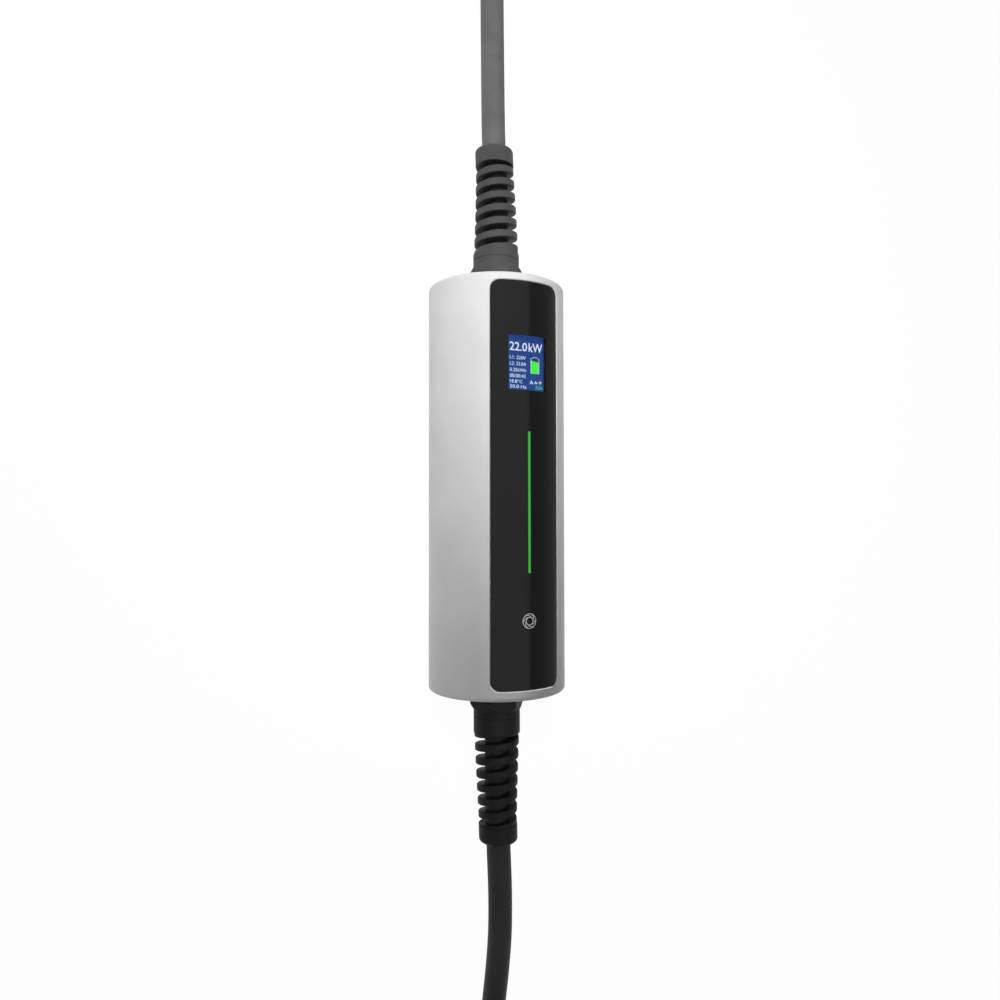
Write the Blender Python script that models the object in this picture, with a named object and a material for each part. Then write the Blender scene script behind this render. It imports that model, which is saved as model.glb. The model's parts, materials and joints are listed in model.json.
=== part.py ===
"""Portable charger for electric cars: a round control box between a supply lead and a vehicle lead.

Metres, +Z up. The box lies on its back: its long axis runs along Y and its front panel faces +Z. The
origin is under the middle of the box, on the surface that it lies on. The supply end points to +Y.
Sizes that hold near the box are measured from its axis, and those of an end from the tube's rim.
"""

import math

import bmesh
import bpy
from mathutils import Vector

# Clearances between pieces that touch or seat in each other
FIT = 0.0003

# Control box
BODY_RADIUS = 0.046
BODY_LENGTH = 0.2715
WALL = 0.0035
RIM_ROUND = 0.003
BODY_SEGMENTS = 40
PLATE_SEGMENTS = 24
BODY_HALF = BODY_LENGTH / 2
BORE_RADIUS = BODY_RADIUS - WALL

# End plates, their gaskets and screws
PLATE_SINK = 0.001
PLATE_THICKNESS = 0.006
GASKET_THICKNESS = 0.0012
GASKET_WIDTH = 0.009
RECESS_RADIUS = BORE_RADIUS + FIT
SCREW_CIRCLE = BORE_RADIUS - 0.0040
SCREW_RADIUS = 0.00175
SCREW_LENGTH = 0.018
HEAD_RADIUS = 0.0030
HEAD_HEIGHT = 0.0025
HEX_KEY = 0.0016
CHANNEL_RADIUS = 0.0046
CHANNEL_CIRCLE = BORE_RADIUS - 0.0025
PLATE_INNER = PLATE_SINK + PLATE_THICKNESS
RECESS_DEPTH = PLATE_INNER + GASKET_THICKNESS + 2 * FIT

# Front panel, in arc length across and metres along the axis
PANEL_HALF_WIDTH = 0.02542
PANEL_TOP_GAP = 0.0059
PANEL_BOTTOM_GAP = 0.0072
PANEL_CORNER = 0.006
PANEL_SKIN = 0.0014
PANEL_BACK = 0.0056
LEDGE_WIDTH = 0.0035
PANEL_GASKET = 0.0004
PANEL_TOP = BODY_HALF - PANEL_TOP_GAP
PANEL_BOTTOM = -BODY_HALF + PANEL_BOTTOM_GAP
POCKET_RADIUS = BODY_RADIUS - PANEL_SKIN - PANEL_GASKET - FIT

# Display, light bar and touch key on the panel
DISPLAY_HALF_WIDTH = 0.01360
DISPLAY_HEIGHT = 0.0347
DISPLAY_FROM_TOP = 0.03465
DISPLAY_TOP = PANEL_TOP - DISPLAY_FROM_TOP
DISPLAY_BOTTOM = DISPLAY_TOP - DISPLAY_HEIGHT
MODULE_MARGIN_X = 0.0034
MODULE_MARGIN_Y = 0.0055
MODULE_THICKNESS = 0.0026
MODULE_HALF_WIDTH = DISPLAY_HALF_WIDTH + MODULE_MARGIN_X
MODULE_SEAT = math.sqrt((BODY_RADIUS - PANEL_SKIN) ** 2 - (MODULE_HALF_WIDTH + FIT) ** 2)
TOUCH_FROM_BOTTOM = 0.0430
TOUCH_Y = PANEL_BOTTOM + TOUCH_FROM_BOTTOM
TOUCH_RADIUS = 0.0065
TOUCH_THICKNESS = 0.0006
LIGHT_FROM_DISPLAY = 0.0263
LIGHT_FROM_TOUCH = 0.0302
LIGHT_TOP = DISPLAY_BOTTOM - LIGHT_FROM_DISPLAY
LIGHT_BOTTOM = TOUCH_Y + LIGHT_FROM_TOUCH
LIGHT_WIDTH = 0.0021
LIGHT_FOOT_WIDTH = 0.005
LIGHT_FOOT = 0.0015

# Control board behind the panel, hung on pins under four bosses
BOARD_THICKNESS = 0.0016
CONTROL_DEPTH = 0.0114
CONTROL_TOP = BODY_RADIUS - CONTROL_DEPTH
CONTROL_FROM_RIM = 0.02375
CONTROL_HALF_LENGTH = BODY_HALF - CONTROL_FROM_RIM
PIN_RADIUS = 0.0010
BOSS_RADIUS = 0.0026
BOSS_MARGIN = 0.0050
BACK_ANGLE = (PANEL_HALF_WIDTH - LEDGE_WIDTH) / BODY_RADIUS
BACK_REACH = (BODY_RADIUS - PANEL_BACK) * math.sin(BACK_ANGLE) - BOSS_RADIUS
CHANNEL_EDGE = CHANNEL_CIRCLE * math.sin(math.pi / 4) - CHANNEL_RADIUS
BOSS_X = min(BACK_REACH, CHANNEL_EDGE - BOSS_MARGIN - BOSS_RADIUS)
BOSS_Y = CONTROL_HALF_LENGTH - BOSS_MARGIN - BOSS_RADIUS
CONTROL_HALF_WIDTH = BOSS_X + BOSS_MARGIN
BOSS_ROOT = math.sqrt((BODY_RADIUS - PANEL_BACK) ** 2 - (BOSS_X - BOSS_RADIUS) ** 2) + FIT
BUZZER_RADIUS = 0.006
BUZZER_HEIGHT = 0.008
BUZZER_FROM_END = 0.052
BUZZER_Y = -CONTROL_HALF_LENGTH + BUZZER_FROM_END
LED_WIDTH = 0.004

# Cable and gland; lengths run outwards from the tube's rim
CABLE_RADIUS = 0.00825
CORE_RADIUS = 0.0021
CORE_CIRCLE = 0.0046
CABLE_STRIP = -0.020
CABLE_JOINT = 0.020
HEX_ACROSS = 0.0318
HEX_CHAMFER = 0.0012
THREAD_RADIUS = 0.0125
THREAD_END = -0.016
LOCKNUT_THICKNESS = 0.005
GLAND_FLANGE = 0.006
NECK_RADIUS = 0.0140
NECK_END = 0.016
SEAL_RADIUS = 0.0109
SEAL_START = 0.0033
NUT_END = 0.0108
CONE_END = 0.0135
SLEEVE_RADIUS = 0.0158
COIL_PITCH = 0.0091
COIL_LENGTH = 0.0614
COIL_RIB = 0.0049
COIL_ROUND = 0.0012
COIL_WIDE = 0.0152
COIL_NARROW = 0.0128
COIL_SEGMENTS = 12
COLLAR_LENGTH = 0.0120
COLLAR_ROUND = 0.0025
GLAND_SEGMENTS = 16
NUT_POINTS = 24
CABLE_BORE = CABLE_RADIUS + 0.0005

# Main board on two pairs of ribs inside the tube
MAIN_TOP = -0.0084
MAIN_SIDE_GAP = 0.0062
MAIN_END_GAP = 0.0098
MAIN_HALF_WIDTH = BORE_RADIUS - MAIN_SIDE_GAP
MAIN_HALF_LENGTH = BODY_HALF + THREAD_END - MAIN_END_GAP
RIB_REACH = 0.0018
RIB_THICKNESS = 0.002

# What stands on the main board, from the terminals inwards
POLES = 5
TERMINAL_FROM_END = 0.026
TERMINAL_Y = MAIN_HALF_LENGTH - TERMINAL_FROM_END
TERMINAL_DEPTH = 0.012
TERMINAL_PITCH = 0.008
TERMINAL_HEIGHT = 0.016
SENSOR_FROM_TERMINAL = 0.022
SENSOR_Y = TERMINAL_Y - SENSOR_FROM_TERMINAL
SENSOR_OUTER = 0.0155
SENSOR_INNER = 0.0095
SENSOR_THICKNESS = 0.014
LOOM_CORE = 0.0030
RELAY_SIZE = (0.026, 0.038, 0.026)
RELAY_FROM_SENSOR = 0.017
RELAY_START = SENSOR_Y - RELAY_FROM_SENSOR
PART_GAP = 0.003
RIBBON_WIDTH = 0.025
RIBBON_THICKNESS = 0.001
RIBBON_BOW = 0.004
RIBBON_Y = -TERMINAL_Y + TERMINAL_DEPTH / 2 + PART_GAP
SUPPLY_SIZE = (0.034, 0.026, 0.022)
SUPPLY_END = RIBBON_Y + RIBBON_BOW + RIBBON_THICKNESS + PART_GAP
CAPACITOR_RADIUS = 0.006
CAPACITOR_HEIGHT = 0.025

# Each end's spiral: where its sleeve ends, the angle its coil starts at, and how far its end leans
SUPPLY_SLEEVE_END = 0.0250
SUPPLY_COIL_START = 184.0
SUPPLY_LEAN = (0.0, -0.0030)
VEHICLE_SLEEVE_END = 0.0298
VEHICLE_COIL_START = 1.0
VEHICLE_LEAN = (0.0022, -0.0022)

# Supply plug; lengths run from its cable end
PLUG_REAR = 0.4704
PLUG_HEIGHT = 0.0410
PLUG_NUT_LENGTH = 0.026
PLUG_NUT_REAR_RADIUS = 0.0150
PLUG_NUT_RADIUS = 0.0180
PLUG_NUT_LOBES = 10
PLUG_BODY_REAR_RADIUS = 0.0215
PLUG_BODY_RADIUS = 0.0330
PLUG_COLLAR_START = 0.084
PLUG_COLLAR_RADIUS = 0.0407
PLUG_COLLAR_END = 0.096
PLUG_LENGTH = 0.155
SHROUD_RADIUS = 0.0340
SHROUD_WALL = 0.0035
KEY_WIDTH = 0.009
KEY_HEIGHT = 0.0035
KEY_LENGTH = 0.045
INSERT_THICKNESS = 0.010
PIN_CIRCLE = 0.0185
PLUG_PIN_RADIUS = 0.0030
EARTH_PIN_RADIUS = 0.0040
PLUG_PIN_LENGTH = 0.038
PIN_TIP = 0.0015

# Vehicle connector; lengths run from its cable end
CONNECTOR_X = -0.015
CONNECTOR_REAR = -0.6777
CONNECTOR_HEIGHT = 0.0320
BOOT_LENGTH = 0.030
BOOT_REAR_RADIUS = 0.0120
BOOT_RADIUS = 0.0150
GRIP_END = 0.176
CONNECTOR_LENGTH = 0.215
NOSE_RADIUS = 0.0280
NOSE_FLAT = 0.0215
NOSE_EDGE = 0.0012
SOCKET_DEPTH = 0.030
POWER_SOCKET_RADIUS = 0.0046
SIGNAL_SOCKET_RADIUS = 0.0032

# Hank of the vehicle lead: two rings of turns, three layers high, on a tie's thickness
CABLE = 2 * CABLE_RADIUS
TIE_THICKNESS = 0.0017
TIE_WIDTH = 0.025
HANK_BASE = TIE_THICKNESS + FIT
HANK_LAYERS = 3
HANK_NEAR = -0.4837
HANK_RUN = 0.303
HANK_OUTER = 0.0825
HANK_INNER = 0.0495
HANK_CORNERS = 12

# Routes of the cable's middle line, in the part's own frame
SUPPLY_ROUTE = [
    (0.0, 0.1558, 0.0460),
    (0.0, 0.1704, 0.0460),
    (0.0, 0.1950, 0.0453),
    (0.0, 0.2200, 0.0440),
    (0.0001, 0.2438, 0.0422),
    (0.0006, 0.2700, 0.0404),
    (0.0009, 0.3000, 0.0393),
    (0.0009, 0.3350, 0.0387),
    (0.0007, 0.3750, 0.0388),
    (0.0004, 0.4150, 0.0396),
    (0.0001, 0.4500, 0.0406),
    (0.0, 0.4750, 0.0410),
    (0.0, 0.4960, 0.0410),
]
VEHICLE_ROUTE = [
    (0.0, -0.1558, 0.0460),
    (0.0, -0.1704, 0.0460),
    (0.0003, -0.1950, 0.0457),
    (0.0012, -0.2200, 0.0448),
    (0.0025, -0.2438, 0.0435),
    (0.0048, -0.2750, 0.0412),
    (0.0064, -0.3060, 0.0375),
    (0.0070, -0.3350, 0.0318),
    (0.0074, -0.3530, 0.0272),
    (0.0090, -0.3770, 0.0207),
    (0.0175, -0.3986, 0.0155),
]
TAIL_ROUTE = [
    (-0.0432, -0.7484, 0.0393),
    (-0.0378, -0.7431, 0.0382),
    (-0.0276, -0.7320, 0.0358),
    (-0.0207, -0.7200, 0.0339),
    (-0.0164, -0.7069, 0.0325),
    (-0.0150, -0.6932, 0.0320),
    (-0.0150, -0.6790, 0.0320),
    (-0.0150, -0.6640, 0.0320),
    (-0.0150, -0.6480, 0.0320),
]

# Look of each material: colour, roughness, metallic
LOOKS = {
    "satin_aluminium": ((0.72, 0.73, 0.74), 0.32, 0.9),
    "black_gloss": ((0.012, 0.013, 0.015), 0.08, 0.0),
    "black_plastic": ((0.03, 0.03, 0.032), 0.45, 0.0),
    "clear_window": ((0.06, 0.16, 0.42), 0.06, 0.0),
    "green_light": ((0.07, 0.55, 0.08), 0.25, 0.0),
    "rubber": ((0.02, 0.02, 0.02), 0.75, 0.0),
    "cable_jacket": ((0.035, 0.036, 0.038), 0.55, 0.0),
    "board_green": ((0.02, 0.16, 0.07), 0.5, 0.0),
    "steel": ((0.6, 0.6, 0.62), 0.3, 1.0),
    "plated_metal": ((0.7, 0.66, 0.55), 0.25, 1.0),
    "component_white": ((0.75, 0.75, 0.72), 0.5, 0.0),
    "component_dark": ((0.05, 0.05, 0.06), 0.4, 0.0),
    "component_yellow": ((0.65, 0.48, 0.06), 0.5, 0.0),
    "copper": ((0.75, 0.35, 0.18), 0.35, 1.0),
    "plug_red": ((0.55, 0.03, 0.025), 0.4, 0.0),
    "strap": ((0.03, 0.03, 0.035), 0.9, 0.0),
}


# Scene and material helpers


def clear_scene():
    for obj in list(bpy.data.objects):
        bpy.data.objects.remove(obj, do_unlink=True)


def material(name):
    found = bpy.data.materials.get(name)
    if found:
        return found
    colour, roughness, metallic = LOOKS[name]
    made = bpy.data.materials.new(name)
    made.use_nodes = True
    shader = made.node_tree.nodes["Principled BSDF"]
    shader.inputs["Base Color"].default_value = (*colour, 1.0)
    shader.inputs["Roughness"].default_value = roughness
    shader.inputs["Metallic"].default_value = metallic
    return made


def add_empty(name, location, turn=0.0):
    empty = bpy.data.objects.new(name, None)
    empty.location = location
    empty.rotation_euler = (0.0, 0.0, turn)
    bpy.context.scene.collection.objects.link(empty)
    return empty


def add_piece(name, bm, look, parent):
    bmesh.ops.recalc_face_normals(bm, faces=bm.faces)
    mesh = bpy.data.meshes.new(name)
    bm.to_mesh(mesh)
    bm.free()
    mesh.materials.append(material(look))
    mesh.shade_smooth()
    mesh.set_sharp_from_angle(angle=math.radians(32))
    obj = bpy.data.objects.new(name, mesh)
    obj.parent = parent
    bpy.context.scene.collection.objects.link(obj)
    return obj


def shape_with(obj, operation, bm, label):
    """Applies one Boolean step with a helper solid that the render leaves out."""
    helper = add_piece(f"{obj.name}_{label}", bm, "black_plastic", obj.parent)
    helper.hide_render = True
    helper.display_type = "WIRE"
    step = obj.modifiers.new(label, "BOOLEAN")
    step.operation = operation
    step.solver = "EXACT"
    step.object = helper
    return obj


# Shape helpers; turned shapes stand round the Y axis


def circle(radius, y, segments, centre=(0.0, 0.0)):
    turns = [2 * math.pi * i / segments for i in range(segments)]
    return [
        (centre[0] + radius * math.sin(a), y, centre[1] + radius * math.cos(a)) for a in turns
    ]


def polygon(across, y, sides, points, turn=0.0):
    """Points spaced evenly in angle along a regular polygon that is across wide over its flats."""
    ring = []
    for i in range(points):
        a = 2 * math.pi * i / points
        half = math.pi / sides
        inside = (a + turn) % (2 * half) - half
        radius = across / 2 / math.cos(inside)
        ring.append((radius * math.sin(a), y, radius * math.cos(a)))
    return ring


def loft(rings, closed=False):
    """Skins rings of equally many points and caps both ends, or joins the ends when closed."""
    bm = bmesh.new()
    loops = [[bm.verts.new(point) for point in ring] for ring in rings]
    follow = loops[1:] + loops[:1] if closed else loops[1:]
    for near, far in zip(loops, follow):
        for i, vert in enumerate(near):
            j = (i + 1) % len(near)
            bm.faces.new((vert, near[j], far[j], far[i]))
    if not closed:
        bm.faces.new(loops[0])
        bm.faces.new(loops[-1])
    return bm


def turned(profile, segments):
    """A solid turned from (radius, y) points, flat at both ends."""
    return loft([circle(radius, y, segments) for radius, y in profile])


def turned_ring(profile, segments):
    """A ring turned from a closed loop of (radius, y) points."""
    rings = []
    for i in range(segments):
        a = 2 * math.pi * i / segments
        rings.append([(r * math.sin(a), y, r * math.cos(a)) for r, y in profile])
    return loft(rings, closed=True)


def tube_profile(inner, outer, start, end):
    return [(inner, start), (outer, start), (outer, end), (inner, end)]


def rounded(radius, start, end, corner, steps=2):
    """Profile points of a cylinder whose far edge is rounded."""
    points = [(radius, start)]
    for i in range(steps + 1):
        a = math.pi / 2 * i / steps
        points.append((radius - corner * (1 - math.cos(a)), end - corner * (1 - math.sin(a))))
    return points


def block(low, high):
    corners = [(low[0], low[2]), (high[0], low[2]), (high[0], high[2]), (low[0], high[2])]
    return loft([[(x, y, z) for x, z in corners] for y in (low[1], high[1])])


def merged(parts):
    """Several loose shapes in one mesh, for one Boolean step."""
    whole = bmesh.new()
    for part in parts:
        mesh = bpy.data.meshes.new("loose")
        bmesh.ops.recalc_face_normals(part, faces=part.faces)
        part.to_mesh(mesh)
        part.free()
        whole.from_mesh(mesh)
        bpy.data.meshes.remove(mesh)
    return whole


def moved(bm, offset):
    bmesh.ops.translate(bm, verts=bm.verts, vec=offset)
    return bm


def upright(bm):
    """Stands a shape that was made along Y on end, along Z."""
    for vert in bm.verts:
        x, y, z = vert.co
        vert.co = (x, -z, y)
    return bm


def cover(half_width, bottom, top, corner, outer, inner=None, flat=None):
    """A plate with rounded corners that follows the box's curve outside, and inside unless flat."""
    inset = half_width - corner
    bend = [corner * math.sin(math.pi / 2 * i / 3) for i in range(1, 4)]
    middle = max(2, 2 * round(inset / PANEL_CORNER))
    across = [-inset + 2 * inset * i / middle for i in range(middle + 1)]
    across = [-inset - s for s in reversed(bend)] + across + [inset + s for s in bend]
    columns = []
    for s in across:
        into = min(corner, max(0.0, abs(s) - inset))
        lift = corner - math.sqrt(max(0.0, corner**2 - into**2))
        a = s / BODY_RADIUS
        x, z = outer * math.sin(a), outer * math.cos(a)
        back = (x, flat) if inner is None else (inner * math.sin(a), inner * math.cos(a))
        low, high = bottom + lift, top - lift
        columns.append([(x, low, z), (x, high, z), (back[0], high, back[1]), (back[0], low, back[1])])
    return loft(columns)


def sweep(points, radius, sides):
    """A round bar along points that run mostly along Y or Z."""
    rings = []
    for i, point in enumerate(points):
        ahead = Vector(points[min(i + 1, len(points) - 1)])
        behind = Vector(points[max(i - 1, 0)])
        along = (ahead - behind).normalized()
        right = Vector((1.0, 0.0, 0.0))
        right = (right - along * right.dot(along)).normalized()
        up = along.cross(right)
        turns = [2 * math.pi * k / sides for k in range(sides)]
        rings.append(
            [Vector(point) + radius * (math.cos(a) * right + math.sin(a) * up) for a in turns]
        )
    return loft(rings)


def smooth(points, per_span=4):
    """Points along a smooth curve that passes through the given ones."""
    ends = [2 * Vector(points[0]) - Vector(points[1]), 2 * Vector(points[-1]) - Vector(points[-2])]
    knots = [ends[0], *map(Vector, points), ends[1]]
    line = []
    for a, b, c, d in zip(knots, knots[1:], knots[2:], knots[3:]):
        for i in range(per_span):
            t = i / per_span
            line.append(
                0.5
                * (2 * b + (c - a) * t + (2 * a - 5 * b + 4 * c - d) * t**2)
                + 0.5 * (3 * b - a - 3 * c + d) * t**3
            )
    return [*line, Vector(points[-1])]


def add_cable(name, route, per_span):
    """A free stretch of cable as a round curve with filled ends."""
    curve = bpy.data.curves.new(name, "CURVE")
    curve.dimensions = "3D"
    curve.bevel_depth = CABLE_RADIUS
    curve.bevel_resolution = 2
    curve.use_fill_caps = True
    line = smooth(route, per_span)
    spline = curve.splines.new("POLY")
    spline.points.add(len(line) - 1)
    for point, place in zip(spline.points, line):
        point.co = (*place, 1.0)
    curve.materials.append(material("cable_jacket"))
    obj = bpy.data.objects.new(name, curve)
    bpy.context.scene.collection.objects.link(obj)
    return obj


# Control box


def screw_places(reach=SCREW_CIRCLE):
    """Where the end screws stand, as (x, z) from the axis."""
    turns = [math.radians(45 + 90 * i) for i in range(4)]
    return [(reach * math.sin(a), reach * math.cos(a)) for a in turns]


def end_cylinders(radius, near, far, reach=SCREW_CIRCLE):
    """Cylinders in line with the end screws, from near to far along Y."""
    places = screw_places(reach)
    return [loft([circle(radius, y, 8, place) for y in (near, far)]) for place in places]


def make_housing(box):
    rim = []
    for side in (-1, 1):
        for i in range(3):
            a = math.pi / 2 * (i if side < 0 else 2 - i) / 2
            radius = BODY_RADIUS - RIM_ROUND * (1 - math.sin(a))
            rim.append((radius, side * (BODY_HALF - RIM_ROUND * (1 - math.cos(a)))))
    profile = [*rim, (BORE_RADIUS, BODY_HALF), (BORE_RADIUS, -BODY_HALF)]
    tube = add_piece("housing_tube", turned_ring(profile, BODY_SEGMENTS), "satin_aluminium", box)
    wall_middle = BODY_RADIUS - WALL / 2
    floor = MAIN_TOP - BOARD_THICKNESS - FIT
    edge = MAIN_HALF_WIDTH - RIB_REACH
    ribs = []
    for side in (-1, 1):
        sides = sorted((side * edge, side * wall_middle * 0.97))
        for low in (MAIN_TOP + FIT, floor - RIB_THICKNESS):
            ribs.append(
                block((sides[0], -BODY_HALF, low), (sides[1], BODY_HALF, low + RIB_THICKNESS))
            )
    channels = end_cylinders(CHANNEL_RADIUS, -BODY_HALF, BODY_HALF, CHANNEL_CIRCLE)
    shape_with(tube, "UNION", merged(channels + ribs), "ribs")
    recess = BODY_HALF - RECESS_DEPTH
    past = BODY_HALF + WALL
    recesses = [turned([(RECESS_RADIUS, side * recess), (RECESS_RADIUS, side * past)], BODY_SEGMENTS)
                for side in (-1, 1)]
    pilot = recess - SCREW_LENGTH
    holes = []
    for side in (-1, 1):
        holes += end_cylinders(SCREW_RADIUS + FIT, side * pilot, side * (recess + FIT))
    shape_with(tube, "DIFFERENCE", merged(recesses), "recesses")
    shape_with(tube, "DIFFERENCE", merged(holes), "screw_holes")
    pocket = cover(
        PANEL_HALF_WIDTH + FIT,
        PANEL_BOTTOM - FIT,
        PANEL_TOP + FIT,
        PANEL_CORNER + FIT,
        BODY_RADIUS + WALL,
        POCKET_RADIUS,
    )
    window = cover(
        PANEL_HALF_WIDTH - LEDGE_WIDTH,
        PANEL_BOTTOM + LEDGE_WIDTH,
        PANEL_TOP - LEDGE_WIDTH,
        PANEL_CORNER - LEDGE_WIDTH / 2,
        BODY_RADIUS,
        BORE_RADIUS - WALL,
    )
    shape_with(tube, "DIFFERENCE", pocket, "pocket")
    shape_with(tube, "DIFFERENCE", window, "window")


def make_end(name, end):
    """One end plate with its gasket and screws; the end's Y axis points outwards."""
    plate_radius = RECESS_RADIUS - FIT
    plate = turned_ring(
        tube_profile(THREAD_RADIUS + FIT, plate_radius, -PLATE_INNER, -PLATE_SINK), PLATE_SEGMENTS
    )
    plate = add_piece(f"end_plate_{name}", plate, "satin_aluminium", end)
    seat = -PLATE_SINK - HEAD_HEIGHT - 2 * FIT
    holes = end_cylinders(SCREW_RADIUS + FIT, -PLATE_INNER - WALL, seat + FIT / 2)
    shape_with(plate, "DIFFERENCE", merged(holes), "holes")
    counterbores = end_cylinders(HEAD_RADIUS + FIT, seat, 0.0)
    shape_with(plate, "DIFFERENCE", merged(counterbores), "counterbores")
    gasket_top = -PLATE_INNER - FIT
    gasket = turned_ring(
        tube_profile(
            plate_radius - GASKET_WIDTH, plate_radius, gasket_top - GASKET_THICKNESS, gasket_top
        ),
        PLATE_SEGMENTS,
    )
    gasket = add_piece(f"end_gasket_{name}", gasket, "rubber", end)
    holes = end_cylinders(SCREW_RADIUS + FIT, gasket_top - WALL, gasket_top + WALL)
    shape_with(gasket, "DIFFERENCE", merged(holes), "holes")
    for i, place in enumerate(screw_places(), 1):
        under_head = seat + FIT
        top = under_head + HEAD_HEIGHT
        rings = [
            circle(SCREW_RADIUS, under_head - SCREW_LENGTH, 6),
            circle(SCREW_RADIUS, under_head, 6),
            circle(HEAD_RADIUS, under_head, 6),
            circle(HEAD_RADIUS, top, 6),
            circle(HEX_KEY, top, 6),
            circle(HEX_KEY, top - HEAD_HEIGHT / 2, 6),
        ]
        screw = moved(loft(rings), (place[0], 0.0, place[1]))
        add_piece(f"end_screw_{name}_{i}", screw, "steel", end)


def make_panel(box):
    skin = BODY_RADIUS - PANEL_SKIN
    panel = add_piece(
        "front_panel",
        cover(PANEL_HALF_WIDTH, PANEL_BOTTOM, PANEL_TOP, PANEL_CORNER, BODY_RADIUS, skin),
        "black_gloss",
        box,
    )
    inset = LEDGE_WIDTH + FIT
    back = cover(
        PANEL_HALF_WIDTH - inset,
        PANEL_BOTTOM + inset,
        PANEL_TOP - inset,
        PANEL_CORNER - LEDGE_WIDTH / 2,
        BODY_RADIUS - PANEL_SKIN / 2,
        BODY_RADIUS - PANEL_BACK,
    )
    shape_with(panel, "UNION", back, "back")
    bosses = []
    for x in (-BOSS_X, BOSS_X):
        for y in (-BOSS_Y, BOSS_Y):
            tip = CONTROL_TOP - BOARD_THICKNESS - FIT
            rings = [
                (PIN_RADIUS, tip),
                (PIN_RADIUS, CONTROL_TOP + FIT),
                (BOSS_RADIUS, CONTROL_TOP + FIT),
                (BOSS_RADIUS, BOSS_ROOT),
            ]
            bosses.append(moved(upright(turned(rings, 8)), (x, y, 0.0)))
    shape_with(panel, "UNION", merged(bosses), "bosses")
    seat = MODULE_SEAT
    width = MODULE_HALF_WIDTH + FIT
    margin = MODULE_MARGIN_Y + FIT
    pocket = block(
        (-width, DISPLAY_BOTTOM - margin, CONTROL_TOP + PIN_RADIUS),
        (width, DISPLAY_TOP + margin, seat),
    )
    shape_with(panel, "DIFFERENCE", pocket, "display_pocket")
    window = block(
        (-DISPLAY_HALF_WIDTH - FIT, DISPLAY_BOTTOM - FIT, seat - WALL),
        (DISPLAY_HALF_WIDTH + FIT, DISPLAY_TOP + FIT, BODY_RADIUS + WALL),
    )
    shape_with(panel, "DIFFERENCE", window, "display_opening")
    slot = LIGHT_WIDTH / 2 + FIT
    light = block(
        (-slot, LIGHT_BOTTOM - FIT, BODY_RADIUS - 2 * PANEL_BACK),
        (slot, LIGHT_TOP + FIT, BODY_RADIUS + WALL),
    )
    shape_with(panel, "DIFFERENCE", light, "light_slot")
    tape = PANEL_GASKET + POCKET_RADIUS + FIT / 2
    gasket = cover(
        PANEL_HALF_WIDTH - FIT,
        PANEL_BOTTOM + FIT,
        PANEL_TOP - FIT,
        PANEL_CORNER - FIT,
        tape,
        tape - PANEL_GASKET,
    )
    gasket = add_piece("panel_gasket", gasket, "rubber", box)
    inner = cover(
        PANEL_HALF_WIDTH - LEDGE_WIDTH,
        PANEL_BOTTOM + LEDGE_WIDTH,
        PANEL_TOP - LEDGE_WIDTH,
        PANEL_CORNER - LEDGE_WIDTH / 2,
        BODY_RADIUS + WALL,
        BORE_RADIUS,
    )
    shape_with(gasket, "DIFFERENCE", inner, "window")


def make_display(box):
    face = MODULE_SEAT - FIT
    window = cover(
        BODY_RADIUS * math.asin(DISPLAY_HALF_WIDTH / BODY_RADIUS),
        DISPLAY_BOTTOM,
        DISPLAY_TOP,
        FIT,
        BODY_RADIUS,
        flat=face + FIT,
    )
    add_piece("display_window", window, "clear_window", box)
    width = MODULE_HALF_WIDTH
    low, high = DISPLAY_BOTTOM - MODULE_MARGIN_Y, DISPLAY_TOP + MODULE_MARGIN_Y
    module = block((-width, low, face - MODULE_THICKNESS), (width, high, face))
    module = add_piece("display_module", module, "component_dark", box)
    header = block(
        (-width / 2, low + FIT, CONTROL_TOP + FIT),
        (width / 2, low + FIT + MODULE_THICKNESS, face - MODULE_THICKNESS / 2),
    )
    shape_with(module, "UNION", header, "header")


def make_light_bar(box):
    top = BODY_RADIUS - FIT / 10
    neck = BODY_RADIUS - PANEL_BACK - FIT
    foot = neck - LIGHT_FOOT
    half, wide = LIGHT_WIDTH / 2, LIGHT_FOOT_WIDTH / 2
    outline = [(-half, top), (half, top), (half, neck), (wide, neck)]
    outline += [(wide, foot), (-wide, foot), (-wide, neck), (-half, neck)]
    bar = loft([[(x, y, z) for x, z in outline] for y in (LIGHT_BOTTOM, LIGHT_TOP)])
    add_piece("light_bar", bar, "green_light", box)
    strip = block(
        (-LED_WIDTH / 2, LIGHT_BOTTOM, CONTROL_TOP + FIT), (LED_WIDTH / 2, LIGHT_TOP, foot - FIT)
    )
    add_piece("led_strip", strip, "component_white", box)


def make_touch_key(box):
    bow = BODY_RADIUS - math.sqrt(BODY_RADIUS**2 - TOUCH_RADIUS**2)
    top = BODY_RADIUS - PANEL_BACK - 2 * bow - FIT
    low = CONTROL_TOP + FIT
    rings = [
        (TOUCH_RADIUS / 2, low),
        (TOUCH_RADIUS / 2, low + TOUCH_THICKNESS),
        (TOUCH_RADIUS / 5, low + 2 * TOUCH_THICKNESS),
        (TOUCH_RADIUS / 5, top - TOUCH_THICKNESS),
        (TOUCH_RADIUS, top - TOUCH_THICKNESS),
        (TOUCH_RADIUS, top),
    ]
    key = moved(upright(turned(rings, 16)), (0.0, TOUCH_Y, 0.0))
    add_piece("touch_electrode", key, "plated_metal", box)


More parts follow.
